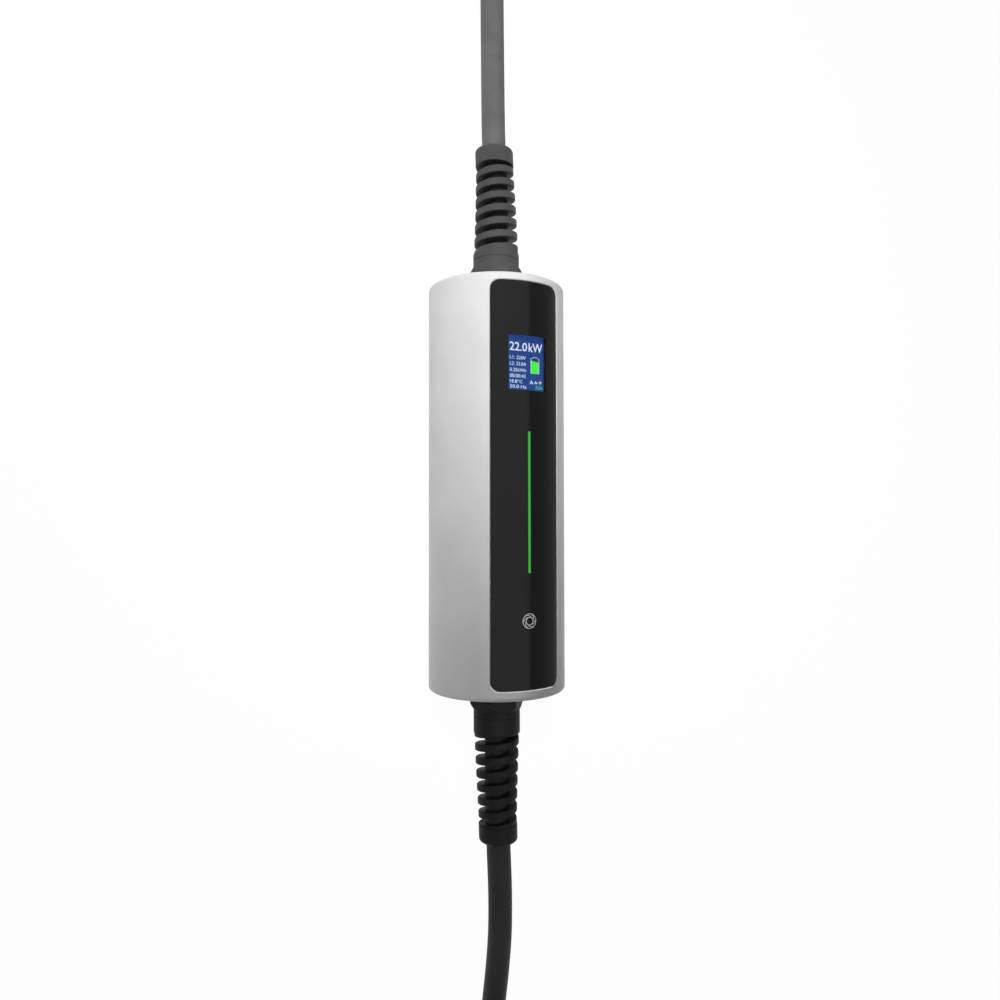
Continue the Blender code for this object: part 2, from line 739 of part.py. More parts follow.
def make_control_board(box):
    low = CONTROL_TOP - BOARD_THICKNESS
    board = block(
        (-CONTROL_HALF_WIDTH, -CONTROL_HALF_LENGTH, low),
        (CONTROL_HALF_WIDTH, CONTROL_HALF_LENGTH, CONTROL_TOP),
    )
    board = add_piece("control_board", board, "board_green", box)
    holes = []
    for x in (-BOSS_X, BOSS_X):
        for y in (-BOSS_Y, BOSS_Y):
            hole = turned([(PIN_RADIUS + FIT, low - FIT), (PIN_RADIUS + FIT, CONTROL_TOP + FIT)], 8)
            holes.append(moved(upright(hole), (x, y, 0.0)))
    shape_with(board, "DIFFERENCE", merged(holes), "pin_holes")
    top = low - FIT
    buzzer = turned(
        [(BUZZER_RADIUS - FIT, top - BUZZER_HEIGHT), (BUZZER_RADIUS, top - BUZZER_HEIGHT + FIT),
         (BUZZER_RADIUS, top)],
        20,
    )
    add_piece("buzzer", moved(upright(buzzer), (0.0, BUZZER_Y, 0.0)), "component_dark", box)


# Power electronics on the main board


def make_main_board(box):
    board = block(
        (-MAIN_HALF_WIDTH, -MAIN_HALF_LENGTH, MAIN_TOP - BOARD_THICKNESS),
        (MAIN_HALF_WIDTH, MAIN_HALF_LENGTH, MAIN_TOP),
    )
    add_piece("main_board", board, "board_green", box)


def capped_box(width, depth, height, base, centre_x, centre_y, edge=0.0012):
    """A moulded case with a bevelled lid, standing on the main board."""
    rings = []
    for inset, z in ((0.0, base), (0.0, base + height - edge), (edge, base + height)):
        x, y = width / 2 - inset, depth / 2 - inset
        rings.append([(-x, -y, z), (x, -y, z), (x, y, z), (-x, y, z)])
    return moved(loft(rings), (centre_x, centre_y, 0.0))


def make_power_parts(box):
    base = MAIN_TOP + FIT
    width, depth, height = RELAY_SIZE
    for i, side in ((1, -1), (2, 1)):
        x = side * (width + PART_GAP) / 2
        relay = capped_box(width, depth, height, base, x, RELAY_START - depth / 2)
        add_piece(f"relay_{i}", relay, "component_white", box)
    width, depth, height = SUPPLY_SIZE
    place = (PART_GAP - width / 2, SUPPLY_END + depth / 2)
    supply = capped_box(width, depth, height, base, *place)
    add_piece("power_supply", supply, "component_yellow", box)
    x = 2 * PART_GAP + CAPACITOR_RADIUS
    for i in (1, 2):
        y = SUPPLY_END + CAPACITOR_RADIUS + (i - 1) * (2 * CAPACITOR_RADIUS + FIT)
        profile = [
            (CAPACITOR_RADIUS, base),
            (CAPACITOR_RADIUS, base + CAPACITOR_HEIGHT - FIT),
            (CAPACITOR_RADIUS - FIT, base + CAPACITOR_HEIGHT),
        ]
        can = moved(upright(turned(profile, 16)), (x, y, 0.0))
        add_piece(f"filter_capacitor_{i}", can, "component_dark", box)


def make_terminals(name, side, box):
    """A row of screw terminals whose wire mouths face the gland."""
    half = POLES * TERMINAL_PITCH / 2
    base = MAIN_TOP + FIT
    depths = sorted((side * (TERMINAL_Y - TERMINAL_DEPTH / 2), side * (TERMINAL_Y + TERMINAL_DEPTH / 2)))
    terminals = block((-half, depths[0], base), (half, depths[1], base + TERMINAL_HEIGHT))
    terminals = add_piece(f"{name}_terminals", terminals, "component_white", box)
    wells = []
    for i in range(POLES):
        x = TERMINAL_PITCH * (i - (POLES - 1) / 2)
        top = base + TERMINAL_HEIGHT
        well = turned([(CORE_RADIUS, top - TERMINAL_HEIGHT / 3), (CORE_RADIUS, top + FIT)], 8)
        wells.append(moved(upright(well), (x, side * TERMINAL_Y, 0.0)))
    shape_with(terminals, "DIFFERENCE", merged(wells), "screw_wells")


def make_current_sensor(box):
    """Ring core of the residual-current sensor, with the four conductors that run through it."""
    base = MAIN_TOP + FIT
    height = base + SENSOR_OUTER
    half = SENSOR_THICKNESS / 2
    edge = SENSOR_THICKNESS / 8
    loop = [
        (SENSOR_INNER, -half + edge),
        (SENSOR_INNER + edge, -half),
        (SENSOR_OUTER - edge, -half),
        (SENSOR_OUTER, -half + edge),
        (SENSOR_OUTER, half - edge),
        (SENSOR_OUTER - edge, half),
        (SENSOR_INNER + edge, half),
        (SENSOR_INNER, half - edge),
    ]
    core = moved(turned_ring(loop, 16), (0.0, SENSOR_Y, height))
    add_piece("current_sensor", core, "component_dark", box)
    near = RELAY_START + FIT
    far = TERMINAL_Y - TERMINAL_DEPTH / 2 - FIT
    points = 32
    outline = []
    for i in range(points):
        a = 2 * math.pi * i / points
        off = (a + math.pi / 4) % (math.pi / 2) - math.pi / 4
        reach = LOOM_CORE * math.sqrt(2)
        radius = reach * math.cos(off) + math.sqrt(LOOM_CORE**2 - (reach * math.sin(off)) ** 2 + 1e-12)
        outline.append((radius * math.sin(a), radius * math.cos(a)))
    base = MAIN_TOP + FIT
    loom = loft([[(x, y, height + z) for x, z in outline] for y in (near, far)])
    add_piece("conductor_loom", loom, "copper", box)


def make_board_link(box):
    """Flat link cable between the two boards, bowed for slack."""
    low, high = MAIN_TOP + FIT, CONTROL_TOP - BOARD_THICKNESS - FIT
    half = RIBBON_WIDTH / 2
    rings = []
    for i in range(9):
        t = i / 8
        z = low + (high - low) * t
        y = RIBBON_Y + RIBBON_BOW * math.sin(math.pi * t)
        rings.append(
            [(-half, y, z), (half, y, z), (half, y + RIBBON_THICKNESS, z), (-half, y + RIBBON_THICKNESS, z)]
        )
    add_piece("board_link_cable", loft(rings), "component_dark", box)


# Glands, cable ends and spirals; each is made round its end's Y axis


def make_gland_body(name, end):
    seat = -PLATE_SINK + FIT
    hexagon = [polygon(HEX_ACROSS, y, 6, GLAND_SEGMENTS) for y in (seat, GLAND_FLANGE)]
    body = add_piece(f"gland_body_{name}", loft(hexagon), "black_plastic", end)
    thread = turned([(THREAD_RADIUS, THREAD_END), (THREAD_RADIUS, seat + FIT)], GLAND_SEGMENTS)
    shape_with(body, "UNION", thread, "thread")
    neck = turned([(NECK_RADIUS, seat + 2 * FIT), (NECK_RADIUS, NECK_END)], GLAND_SEGMENTS)
    shape_with(body, "UNION", neck, "neck")
    bore = turned([(CABLE_BORE, THREAD_END - WALL), (CABLE_BORE, NECK_END + WALL)], GLAND_SEGMENTS)
    shape_with(body, "DIFFERENCE", bore, "bore")
    seal_seat = turned(
        [(SEAL_RADIUS + FIT, SEAL_START), (SEAL_RADIUS + FIT, NECK_END + WALL)], GLAND_SEGMENTS
    )
    shape_with(body, "DIFFERENCE", seal_seat, "seal_seat")


def make_gland_small_parts(name, end):
    top = -PLATE_INNER - FIT
    nut = loft([polygon(HEX_ACROSS, y, 6, 6) for y in (top - LOCKNUT_THICKNESS, top)])
    nut = add_piece(f"gland_locknut_{name}", nut, "black_plastic", end)
    hole = turned([(THREAD_RADIUS + FIT, top - WALL - LOCKNUT_THICKNESS), (THREAD_RADIUS + FIT, top + WALL)], 24)
    shape_with(nut, "DIFFERENCE", hole, "thread")
    seal = tube_profile(CABLE_RADIUS + FIT, SEAL_RADIUS, SEAL_START + FIT, NECK_END + 2 * FIT)
    add_piece(f"gland_seal_{name}", turned_ring(seal, 18), "rubber", end)


def leaned(bm, lean, sleeve_end):
    """Bends the spiral's middle line off the axis, more and more towards its end."""
    for vert in bm.verts:
        share = max(0.0, (vert.co.y - sleeve_end) / (COIL_LENGTH + COLLAR_LENGTH)) ** 2
        across, down = lean[0] * share, lean[1] * share
        vert.co.x += across
        vert.co.z += down
    return bm


def coil(sleeve_end, first_angle):
    """The open spiral: one rib of chamfered section, wound right-handed and tapering outwards."""
    start = sleeve_end - 0.6 * COIL_RIB
    end = sleeve_end + COIL_LENGTH + 0.7 * COIL_RIB
    turns = (end - start) / COIL_PITCH
    steps = round(turns * COIL_SEGMENTS)
    half = COIL_RIB / 2
    inner = (CABLE_RADIUS + FIT) / math.cos(math.pi / COIL_SEGMENTS)
    rings = []
    for i in range(steps + 1):
        along = start + (end - start) * i / steps
        a = math.radians(first_angle) + 2 * math.pi * turns * i / steps
        taper = (along - sleeve_end) / COIL_LENGTH
        outer = COIL_WIDE + (COIL_NARROW - COIL_WIDE) * min(1.0, max(0.0, taper))
        section = [
            (inner, -half),
            (inner, half),
            (outer - COIL_ROUND, half),
            (outer, half - COIL_ROUND),
            (outer, -half + COIL_ROUND),
            (outer - COIL_ROUND, -half),
        ]
        rings.append([(r * math.sin(a), along + v, r * math.cos(a)) for r, v in section])
    return loft(rings)


def make_spiral_nut(name, end, sleeve_end, first_angle, lean):
    """Hexagon cap nut, sleeve, open spiral and end collar, moulded in one piece."""
    start = GLAND_FLANGE + FIT
    coil_end = sleeve_end + COIL_LENGTH
    collar_end = coil_end + COLLAR_LENGTH
    corner = HEX_ACROSS / 2 / math.cos(math.pi / 6)
    cone = NUT_END - HEX_CHAMFER
    turned_down = [(start, corner - HEX_CHAMFER), (start + HEX_CHAMFER, corner), (cone, corner)]
    for share in (0.35, 0.70, 1.0):
        turned_down.append((cone + (CONE_END - cone) * share, corner + (SLEEVE_RADIUS - corner) * share))
    rings = []
    for y, limit in turned_down:
        hexagon = polygon(HEX_ACROSS, y, 6, NUT_POINTS)
        fits = [min(1.0, limit / math.hypot(x, z)) for x, _, z in hexagon]
        rings.append([(x * fit, y, z * fit) for (x, _, z), fit in zip(hexagon, fits)])
    nut = add_piece(f"gland_spiral_{name}", loft(rings), "black_plastic", end)
    sleeve = turned(
        rounded(SLEEVE_RADIUS - FIT / 3, NUT_END, sleeve_end, HEX_CHAMFER), GLAND_SEGMENTS
    )
    shape_with(nut, "UNION", sleeve, "sleeve")
    bore = turned([(CABLE_BORE, start - WALL), (CABLE_BORE, sleeve_end + WALL)], GLAND_SEGMENTS)
    shape_with(nut, "DIFFERENCE", bore, "bore")
    cavity = turned([(NECK_RADIUS + FIT, start - WALL), (NECK_RADIUS + FIT, NECK_END + 3 * FIT)], GLAND_SEGMENTS)
    shape_with(nut, "DIFFERENCE", cavity, "cavity")
    spiral = leaned(coil(sleeve_end, first_angle), lean, sleeve_end)
    shape_with(nut, "UNION", spiral, "spiral")
    outer = rounded(COIL_NARROW + FIT, coil_end, collar_end, COLLAR_ROUND)
    loop = [*outer, (CABLE_BORE, collar_end), (CABLE_BORE, coil_end)]
    collar = leaned(turned_ring(loop, GLAND_SEGMENTS), lean, sleeve_end)
    shape_with(nut, "UNION", collar, "collar")


def make_cable_end(name, end):
    """The sheath through the gland and the five cores that fan out to the terminals."""
    sheath = turned([(CABLE_RADIUS, CABLE_STRIP), (CABLE_RADIUS, CABLE_JOINT - FIT)], 18)
    sheath = add_piece(f"cable_end_{name}", sheath, "cable_jacket", end)
    finish = TERMINAL_Y + TERMINAL_DEPTH / 2 + 3 * FIT - BODY_HALF
    mouth = MAIN_TOP + FIT + TERMINAL_HEIGHT / 2
    cores = []
    for i in range(POLES):
        x = TERMINAL_PITCH * (i - (POLES - 1) / 2)
        a = math.pi * (i - (POLES - 1) / 2) / POLES * 1.6
        first = (CORE_CIRCLE * math.sin(a), CORE_CIRCLE * (math.cos(a) - 0.6))
        line = []
        for k in range(5):
            t = k / 4
            ease = t * t * (3 - 2 * t)
            y = CABLE_STRIP + FIT * 10 + (finish - CABLE_STRIP - FIT * 10) * t
            line.append((first[0] + (x - first[0]) * ease, y, first[1] + (mouth - first[1]) * ease))
        cores.append(sweep(line, CORE_RADIUS, 5))
    shape_with(sheath, "UNION", merged(cores), "cores")


# Supply plug


def make_plug():
    plug = add_empty("supply_plug", (0.0, PLUG_REAR, PLUG_HEIGHT))
    rings = []
    for y, radius, depth in (
        (0.0, PLUG_NUT_REAR_RADIUS, 0.0),
        (0.004, PLUG_NUT_RADIUS - 0.001, 0.0004),
        (0.008, PLUG_NUT_RADIUS, 0.0008),
        (PLUG_NUT_LENGTH - 0.003, PLUG_NUT_RADIUS, 0.0008),
        (PLUG_NUT_LENGTH, PLUG_NUT_RADIUS + 0.001, 0.0),
    ):
        ring = []
        points = 2 * PLUG_NUT_LOBES
        for i in range(points):
            a = 2 * math.pi * i / points
            r = radius - depth * (1 - math.cos(PLUG_NUT_LOBES * a))
            ring.append((r * math.sin(a), y, r * math.cos(a)))
        rings.append(ring)
    nut = add_piece("plug_nut", loft(rings), "black_plastic", plug)
    bore = turned([(CABLE_BORE, -WALL), (CABLE_BORE, PLUG_NUT_LENGTH + WALL)], 24)
    shape_with(nut, "DIFFERENCE", bore, "bore")
    start = PLUG_NUT_LENGTH + FIT
    span = PLUG_COLLAR_START - start
    profile = [(PLUG_BODY_REAR_RADIUS, start)]
    for share, radius in ((0.08, 0.0), (0.30, 0.35), (0.55, 0.80), (0.80, 1.0)):
        step = PLUG_BODY_RADIUS - PLUG_BODY_REAR_RADIUS
        profile.append((PLUG_BODY_REAR_RADIUS + step * radius, start + span * share))
    profile += [(PLUG_BODY_RADIUS, PLUG_COLLAR_START), (PLUG_COLLAR_RADIUS, PLUG_COLLAR_START + 0.002)]
    profile += [(PLUG_COLLAR_RADIUS, PLUG_COLLAR_END - 0.001), (PLUG_COLLAR_RADIUS - 0.001, PLUG_COLLAR_END)]
    body = add_piece("plug_body", turned(profile, 28), "plug_red", plug)
    ridges = []
    for i in range(8):
        a = 2 * math.pi * (i + 0.5) / 8
        low, high = start + span * 0.72, PLUG_COLLAR_START - 0.003
        ridge = block((-0.0035, low, PLUG_BODY_RADIUS - 0.004), (0.0035, high, PLUG_BODY_RADIUS + 0.0015))
        for vert in ridge.verts:
            x, y, z = vert.co
            vert.co = (x * math.cos(a) + z * math.sin(a), y, z * math.cos(a) - x * math.sin(a))
        ridges.append(ridge)
    shape_with(body, "UNION", merged(ridges), "ridges")
    front = PLUG_COLLAR_END + FIT
    shroud = tube_profile(SHROUD_RADIUS - SHROUD_WALL, SHROUD_RADIUS, front, PLUG_LENGTH)
    shroud = add_piece("plug_shroud", turned_ring(shroud, 32), "plug_red", plug)
    key = block(
        (-KEY_WIDTH / 2, front + FIT, -SHROUD_RADIUS - KEY_HEIGHT),
        (KEY_WIDTH / 2, front + KEY_LENGTH, -SHROUD_RADIUS + SHROUD_WALL / 2),
    )
    shape_with(shroud, "UNION", key, "key")
    disc_radius = SHROUD_RADIUS - SHROUD_WALL - FIT
    disc = turned([(disc_radius, front), (disc_radius, front + INSERT_THICKNESS)], 32)
    insert = add_piece("plug_insert", disc, "plug_red", plug)
    pins = []
    for i in range(POLES):
        a = math.radians(180) + 2 * math.pi * i / POLES
        radius = EARTH_PIN_RADIUS if i == 0 else PLUG_PIN_RADIUS
        root, tip = front + INSERT_THICKNESS / 2, front + INSERT_THICKNESS + PLUG_PIN_LENGTH
        pin = turned([(radius, root), (radius, tip - PIN_TIP), (radius - PIN_TIP, tip)], 8)
        pins.append(moved(pin, (PIN_CIRCLE * math.sin(a), 0.0, PIN_CIRCLE * math.cos(a))))
    shape_with(insert, "UNION", merged(pins), "pins")


# Vehicle connector


def grip_half(side):
    """One half of the handle, split on its middle plane."""
    stations = (
        (BOOT_LENGTH + FIT, 0.0160, 0.0170, 0.0),
        (0.045, 0.0175, 0.0195, 0.0010),
        (0.075, 0.0190, 0.0220, 0.0022),
        (0.105, 0.0195, 0.0222, 0.0018),
        (0.128, 0.0215, 0.0248, 0.0006),
        (0.148, 0.0268, 0.0295, 0.0),
        (0.162, 0.0303, 0.0315, 0.0),
        (GRIP_END - 0.002, 0.0308, 0.0316, 0.0),
        (GRIP_END, 0.0296, 0.0304, 0.0),
    )
    points = 10
    rings = []
    for y, wide, high, lift in stations:
        ring = []
        for i in range(points + 1):
            a = math.pi * i / points
            flat = 0.8
            x = wide * math.copysign(abs(math.sin(a)) ** flat, math.sin(a)) if 0 < i < points else 0.0
            z = high * math.copysign(abs(math.cos(a)) ** flat, math.cos(a))
            ring.append((side * (x + FIT / 2), y, z + lift))
        rings.append(ring)
    return loft(rings)


def make_connector():
    connector = add_empty("vehicle_connector", (CONNECTOR_X, CONNECTOR_REAR, CONNECTOR_HEIGHT))
    loop = [(CABLE_BORE, 0.0), (BOOT_REAR_RADIUS, 0.0), (BOOT_REAR_RADIUS + 0.0015, 0.003)]
    for i in range(1, 3):
        y = BOOT_LENGTH * i / 3
        radius = BOOT_REAR_RADIUS + 0.0015 + (BOOT_RADIUS - BOOT_REAR_RADIUS - 0.0015) * i / 3
        loop += [(radius, y - 0.0012), (radius - 0.001, y), (radius - 0.001, y + 0.0012), (radius + 0.0004, y + 0.0024)]
    loop += [(BOOT_RADIUS, BOOT_LENGTH), (CABLE_BORE, BOOT_LENGTH)]
    add_piece("connector_boot", turned_ring(loop, 16), "rubber", connector)
    for name, side in (("left", -1), ("right", 1)):
        add_piece(f"connector_grip_{name}", grip_half(side), "black_plastic", connector)
    start = GRIP_END + FIT
    rings = []
    for y, inset in ((start, 0.0), (CONNECTOR_LENGTH - NOSE_EDGE, 0.0), (CONNECTOR_LENGTH, NOSE_EDGE)):
        radius, flat = NOSE_RADIUS - inset, NOSE_FLAT - inset
        first = math.acos(flat / radius)
        turns = [first + (2 * math.pi - 2 * first) * i / 31 for i in range(32)]
        rings.append([(radius * math.sin(a), y, radius * math.cos(a)) for a in turns])
    nose = add_piece("connector_nose", loft(rings), "black_plastic", connector)
    sockets = []
    for x, z, radius in SOCKETS:
        hole = [circle(radius, y, 8, (x, z)) for y in (CONNECTOR_LENGTH - SOCKET_DEPTH, CONNECTOR_LENGTH + WALL)]
        sockets.append(loft(hole))
    shape_with(nose, "DIFFERENCE", merged(sockets), "sockets")


SOCKETS = (
    (0.0, 0.0, POWER_SOCKET_RADIUS),
    (-0.0160, 0.0, POWER_SOCKET_RADIUS),
    (0.0160, 0.0, POWER_SOCKET_RADIUS),
    (-0.0083, -0.0140, POWER_SOCKET_RADIUS),
    (0.0083, -0.0140, POWER_SOCKET_RADIUS),
    (-0.0078, 0.0126, SIGNAL_SOCKET_RADIUS),
    (0.0078, 0.0126, SIGNAL_SOCKET_RADIUS),
)


# Hank and its ties


def stadium(radius, y_near, y_far, z, corners):
    """A long outline with round ends, along Y."""
    points = []
    for i in range(corners + 1):
        a = math.pi * i / corners
        points.append((radius * math.cos(a), y_near + radius * math.sin(a), z))
    for i in range(corners + 1):
        a = math.pi * i / corners
        points.append((-radius * math.cos(a), y_far - radius * math.sin(a), z))
    return points


def make_hank():
    far = HANK_NEAR - HANK_RUN
    top = HANK_BASE + HANK_LAYERS * CABLE
    rings = [
        stadium(HANK_INNER, HANK_NEAR, far, HANK_BASE, HANK_CORNERS),
        stadium(HANK_OUTER, HANK_NEAR, far, HANK_BASE, HANK_CORNERS),
        stadium(HANK_OUTER, HANK_NEAR, far, top, HANK_CORNERS),
        stadium(HANK_INNER, HANK_NEAR, far, top, HANK_CORNERS),
    ]
    add_piece("lead_hank", loft(rings, closed=True), "cable_jacket", None)
    middle = (HANK_NEAR + far) / 2
    for number, side in ((1, 1), (2, -1)):
        low, high = middle - TIE_WIDTH / 2, middle + TIE_WIDTH / 2
        loops = []
        for wall in (FIT, FIT + TIE_THICKNESS):
            x0, x1 = sorted((side * (HANK_INNER - wall), side * (HANK_OUTER + wall)))
            z0, z1 = HANK_BASE - wall, top + wall
            loops.append([(x0, z0), (x1, z0), (x1, z1), (x0, z1)])
        inner, outer = loops
        rings = [
            [(x, low, z) for x, z in inner],
            [(x, low, z) for x, z in outer],
            [(x, high, z) for x, z in outer],
            [(x, high, z) for x, z in inner],
        ]
        add_piece(f"hank_tie_{number}", loft(rings, closed=True), "strap", None)


def main():
    clear_scene()
    box = add_empty("control_box", (0.0, 0.0, BODY_RADIUS))
    make_housing(box)
    make_panel(box)
    make_display(box)
    make_light_bar(box)
    make_touch_key(box)
    make_control_board(box)
    make_main_board(box)
    make_power_parts(box)
    make_terminals("supply", 1, box)
    make_terminals("vehicle", -1, box)
    make_current_sensor(box)
    make_board_link(box)
    for name, side, sleeve_end, first_angle, lean in (
        ("supply", 1, SUPPLY_SLEEVE_END, SUPPLY_COIL_START, SUPPLY_LEAN),
        ("vehicle", -1, VEHICLE_SLEEVE_END, VEHICLE_COIL_START, VEHICLE_LEAN),
    ):
        turn = 0.0 if side > 0 else math.pi
        end = add_empty(f"{name}_end", (0.0, side * BODY_HALF, BODY_RADIUS), turn)
        make_end(name, end)
        make_gland_body(name, end)
        make_gland_small_parts(name, end)
        make_spiral_nut(name, end, sleeve_end, first_angle, (side * lean[0], lean[1]))
        make_cable_end(name, end)
    add_cable("supply_lead", SUPPLY_ROUTE, 1)
    add_cable("vehicle_lead", VEHICLE_ROUTE, 1)
    add_cable("vehicle_lead_tail", TAIL_ROUTE, 1)
    make_hank()
    make_plug()
    make_connector()


main()
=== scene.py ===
"""Looks of the portable charger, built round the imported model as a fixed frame.

Metres, in the same frame as the model: the box lies on its back with its long axis along Y and its
panel facing +Z. Ends are shaped round their own axis, from the tube's rim outwards.
"""

import json
from math import acos, asin, atan2, copysign, cos, pi, radians, sin, sqrt, tau

import bmesh
import bpy
from mathutils import Matrix, Vector

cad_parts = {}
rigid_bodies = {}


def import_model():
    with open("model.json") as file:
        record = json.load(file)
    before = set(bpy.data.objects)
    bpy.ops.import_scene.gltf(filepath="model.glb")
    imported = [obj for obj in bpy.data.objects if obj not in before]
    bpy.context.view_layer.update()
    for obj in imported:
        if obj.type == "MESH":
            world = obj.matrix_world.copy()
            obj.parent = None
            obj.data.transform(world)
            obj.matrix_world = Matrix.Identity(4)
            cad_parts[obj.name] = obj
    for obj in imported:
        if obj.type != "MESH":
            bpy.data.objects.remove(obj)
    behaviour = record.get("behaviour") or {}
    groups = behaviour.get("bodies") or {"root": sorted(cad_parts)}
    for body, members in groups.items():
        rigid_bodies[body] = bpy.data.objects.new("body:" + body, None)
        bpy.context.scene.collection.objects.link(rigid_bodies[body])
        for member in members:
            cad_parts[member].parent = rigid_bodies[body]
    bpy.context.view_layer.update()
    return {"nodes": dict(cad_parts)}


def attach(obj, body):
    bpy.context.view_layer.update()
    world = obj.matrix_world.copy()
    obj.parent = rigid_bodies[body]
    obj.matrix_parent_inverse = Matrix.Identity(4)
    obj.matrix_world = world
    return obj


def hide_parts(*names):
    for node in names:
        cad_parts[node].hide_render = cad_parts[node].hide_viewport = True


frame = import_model()

# Sizes of the frame that the pieces fit
FIT = 0.0003
RADIUS = 0.046
HALF = 0.13575
BORE = 0.0425
RIM = 0.003
PANEL_WIDE = 0.02542
PANEL_TOP = 0.12985
PANEL_BOTTOM = -0.12855
PANEL_CORNER = 0.006
LEDGE = 0.0035
POCKET = 0.0439
RECESS = 0.009
SCREEN_WIDE = 0.0136
SCREEN_TOP = 0.0952
SCREEN_BOTTOM = 0.0605
LIGHT_TOP = 0.0342
LIGHT_BOTTOM = -0.0553
LIGHT_WIDE = 0.00105
TOUCH_Y = -0.0855
PANEL_THICK = 0.0014
PRINT_THICK = 0.00003
CABLE = 0.0165
CABLE_BORE = 0.00875
HEX_ACROSS = 0.0318
COIL_LENGTH = 0.0614
COLLAR_LENGTH = 0.012
COIL_WIDE = 0.0152
COIL_NARROW = 0.0128

# Routes of the cable's middle line
SUPPLY_ROUTE = [
    (0.0, 0.1558, 0.046), (0.0, 0.1704, 0.046), (0.0, 0.195, 0.0453),
    (0.0, 0.22, 0.044), (0.0001, 0.2438, 0.0422), (0.0006, 0.27, 0.0404),
    (0.0009, 0.3, 0.0393), (0.0009, 0.335, 0.0387), (0.0007, 0.375, 0.0388),
    (0.0004, 0.415, 0.0396), (0.0001, 0.45, 0.0406), (0.0, 0.475, 0.041),
    (0.0, 0.496, 0.041),
]
VEHICLE_ROUTE = [
    (0.0, -0.1558, 0.046), (0.0, -0.1704, 0.046), (0.0003, -0.195, 0.0457),
    (0.0012, -0.22, 0.0448), (0.0025, -0.2438, 0.0435), (0.0048, -0.275, 0.0412),
    (0.0064, -0.306, 0.0375), (0.007, -0.335, 0.0318), (0.0074, -0.353, 0.0272),
    (0.009, -0.377, 0.0207), (0.0175, -0.3986, 0.0155),
]
TAIL_ROUTE = [
    (-0.0558, -0.7718, 0.0432), (-0.05, -0.7578, 0.0418), (-0.0432, -0.7484, 0.0393),
    (-0.0378, -0.7431, 0.0382), (-0.0276, -0.732, 0.0358), (-0.0207, -0.72, 0.0339),
    (-0.0164, -0.7069, 0.0325), (-0.015, -0.6932, 0.032), (-0.015, -0.679, 0.032),
    (-0.015, -0.664, 0.032), (-0.015, -0.648, 0.032),
]

# Hank of the vehicle lead
HANK_NEAR = -0.4837
HANK_RUN = 0.303
HANK_FAR = HANK_NEAR - HANK_RUN
HANK_BASE = 0.002
RING_OUT = 0.07425
RING_IN = 0.05775
RING_MEAN = 0.066
HANK_JOIN = radians(33.4)

# Frames of the box and of its two ends
BOX_PLACE = Matrix.Translation((0.0, 0.0, RADIUS))
END_PLACES = {
    "supply": Matrix.Translation((0.0, HALF, RADIUS)),
    "vehicle": Matrix.Translation((0.0, -HALF, RADIUS)) @ Matrix.Rotation(pi, 4, "Z"),
}


# Mesh helpers


def polar(radius, y, angle, centre=(0.0, 0.0)):
    """A point round an axis along Y, its angle counted from +Z towards +X."""
    return (centre[0] + radius * sin(angle), y, centre[1] + radius * cos(angle))


def turns(points):
    return [tau * i / points for i in range(points)]


def circle(radius, y, points, centre=(0.0, 0.0)):
    return [polar(radius, y, a, centre) for a in turns(points)]


def corner_of(across):
    """Radius to the corners of a hexagon with that width across its flats."""
    return across / 2 / cos(pi / 6)


def hexagon(across, y, corner, points=120):
    """A hexagon whose corners are drawn in to a circle of that radius."""
    return [polar(min(across / 2 / cos(a % (pi / 3) - pi / 6), corner), y, a) for a in turns(points)]


def strip(bm, near, far):
    """Faces between two closed loops of vertices."""
    for i, vert in enumerate(near):
        j = (i + 1) % len(near)
        bm.faces.new((vert, near[j], far[j], far[i]))


def loft(rings, closed=False):
    bm = bmesh.new()
    loops = [[bm.verts.new(point) for point in ring] for ring in rings]
    follow = loops[1:] + loops[:1] if closed else loops[1:]
    for near, far in zip(loops, follow):
        strip(bm, near, far)
    if not closed:
        bm.faces.new(loops[0])
        bm.faces.new(loops[-1])
    return bm


def turned(profile, points):
    return loft([circle(radius, y, points) for radius, y in profile])


def turned_ring(profile, points):
    return loft([[polar(r, y, a) for r, y in profile] for a in turns(points)], closed=True)


def arc(centre, radius, start, end, steps):
    """Flat points on an arc, with angles from the first axis, in degrees."""
    angles = [radians(start + (end - start) * i / steps) for i in range(steps + 1)]
    return [(centre[0] + radius * cos(a), centre[1] + radius * sin(a)) for a in angles]


def softened(profile, corner, steps=3):
    """A closed (radius, y) loop with each corner rounded off."""
    made = []
    for i, point in enumerate(profile):
        here = Vector((*point, 0.0))
        before = Vector((*profile[i - 1], 0.0)) - here
        after = Vector((*profile[(i + 1) % len(profile)], 0.0)) - here
        reach = min(corner, before.length * 0.45, after.length * 0.45)
        a, b = here + before.normalized() * reach, here + after.normalized() * reach
        for k in range(steps + 1):
            t = k / steps
            made.append((a * (1 - t) ** 2 + here * 2 * t * (1 - t) + b * t**2)[:2])
    return made


def block(low, high):
    corners = [(low[0], low[2]), (high[0], low[2]), (high[0], high[2]), (low[0], high[2])]
    return loft([[(x, y, z) for x, z in corners] for y in (low[1], high[1])])


def moved(bm, offset):
    bmesh.ops.translate(bm, verts=bm.verts, vec=offset)
    return bm


def about_y(bm, angle):
    bmesh.ops.rotate(bm, verts=bm.verts, cent=(0, 0, 0), matrix=Matrix.Rotation(angle, 3, "Y"))
    return bm


def softly_edged(bm, width, segments=2, angle=35.0):
    """Rounds off every edge that is sharper than the angle."""
    bmesh.ops.recalc_face_normals(bm, faces=bm.faces)
    edges = [e for e in bm.edges if len(e.link_faces) == 2 and e.calc_face_angle(0.0) > radians(angle)]
    bmesh.ops.bevel(
        bm, geom=edges, offset=width, segments=segments, profile=0.5, affect="EDGES", clamp_overlap=True
    )
    return bm


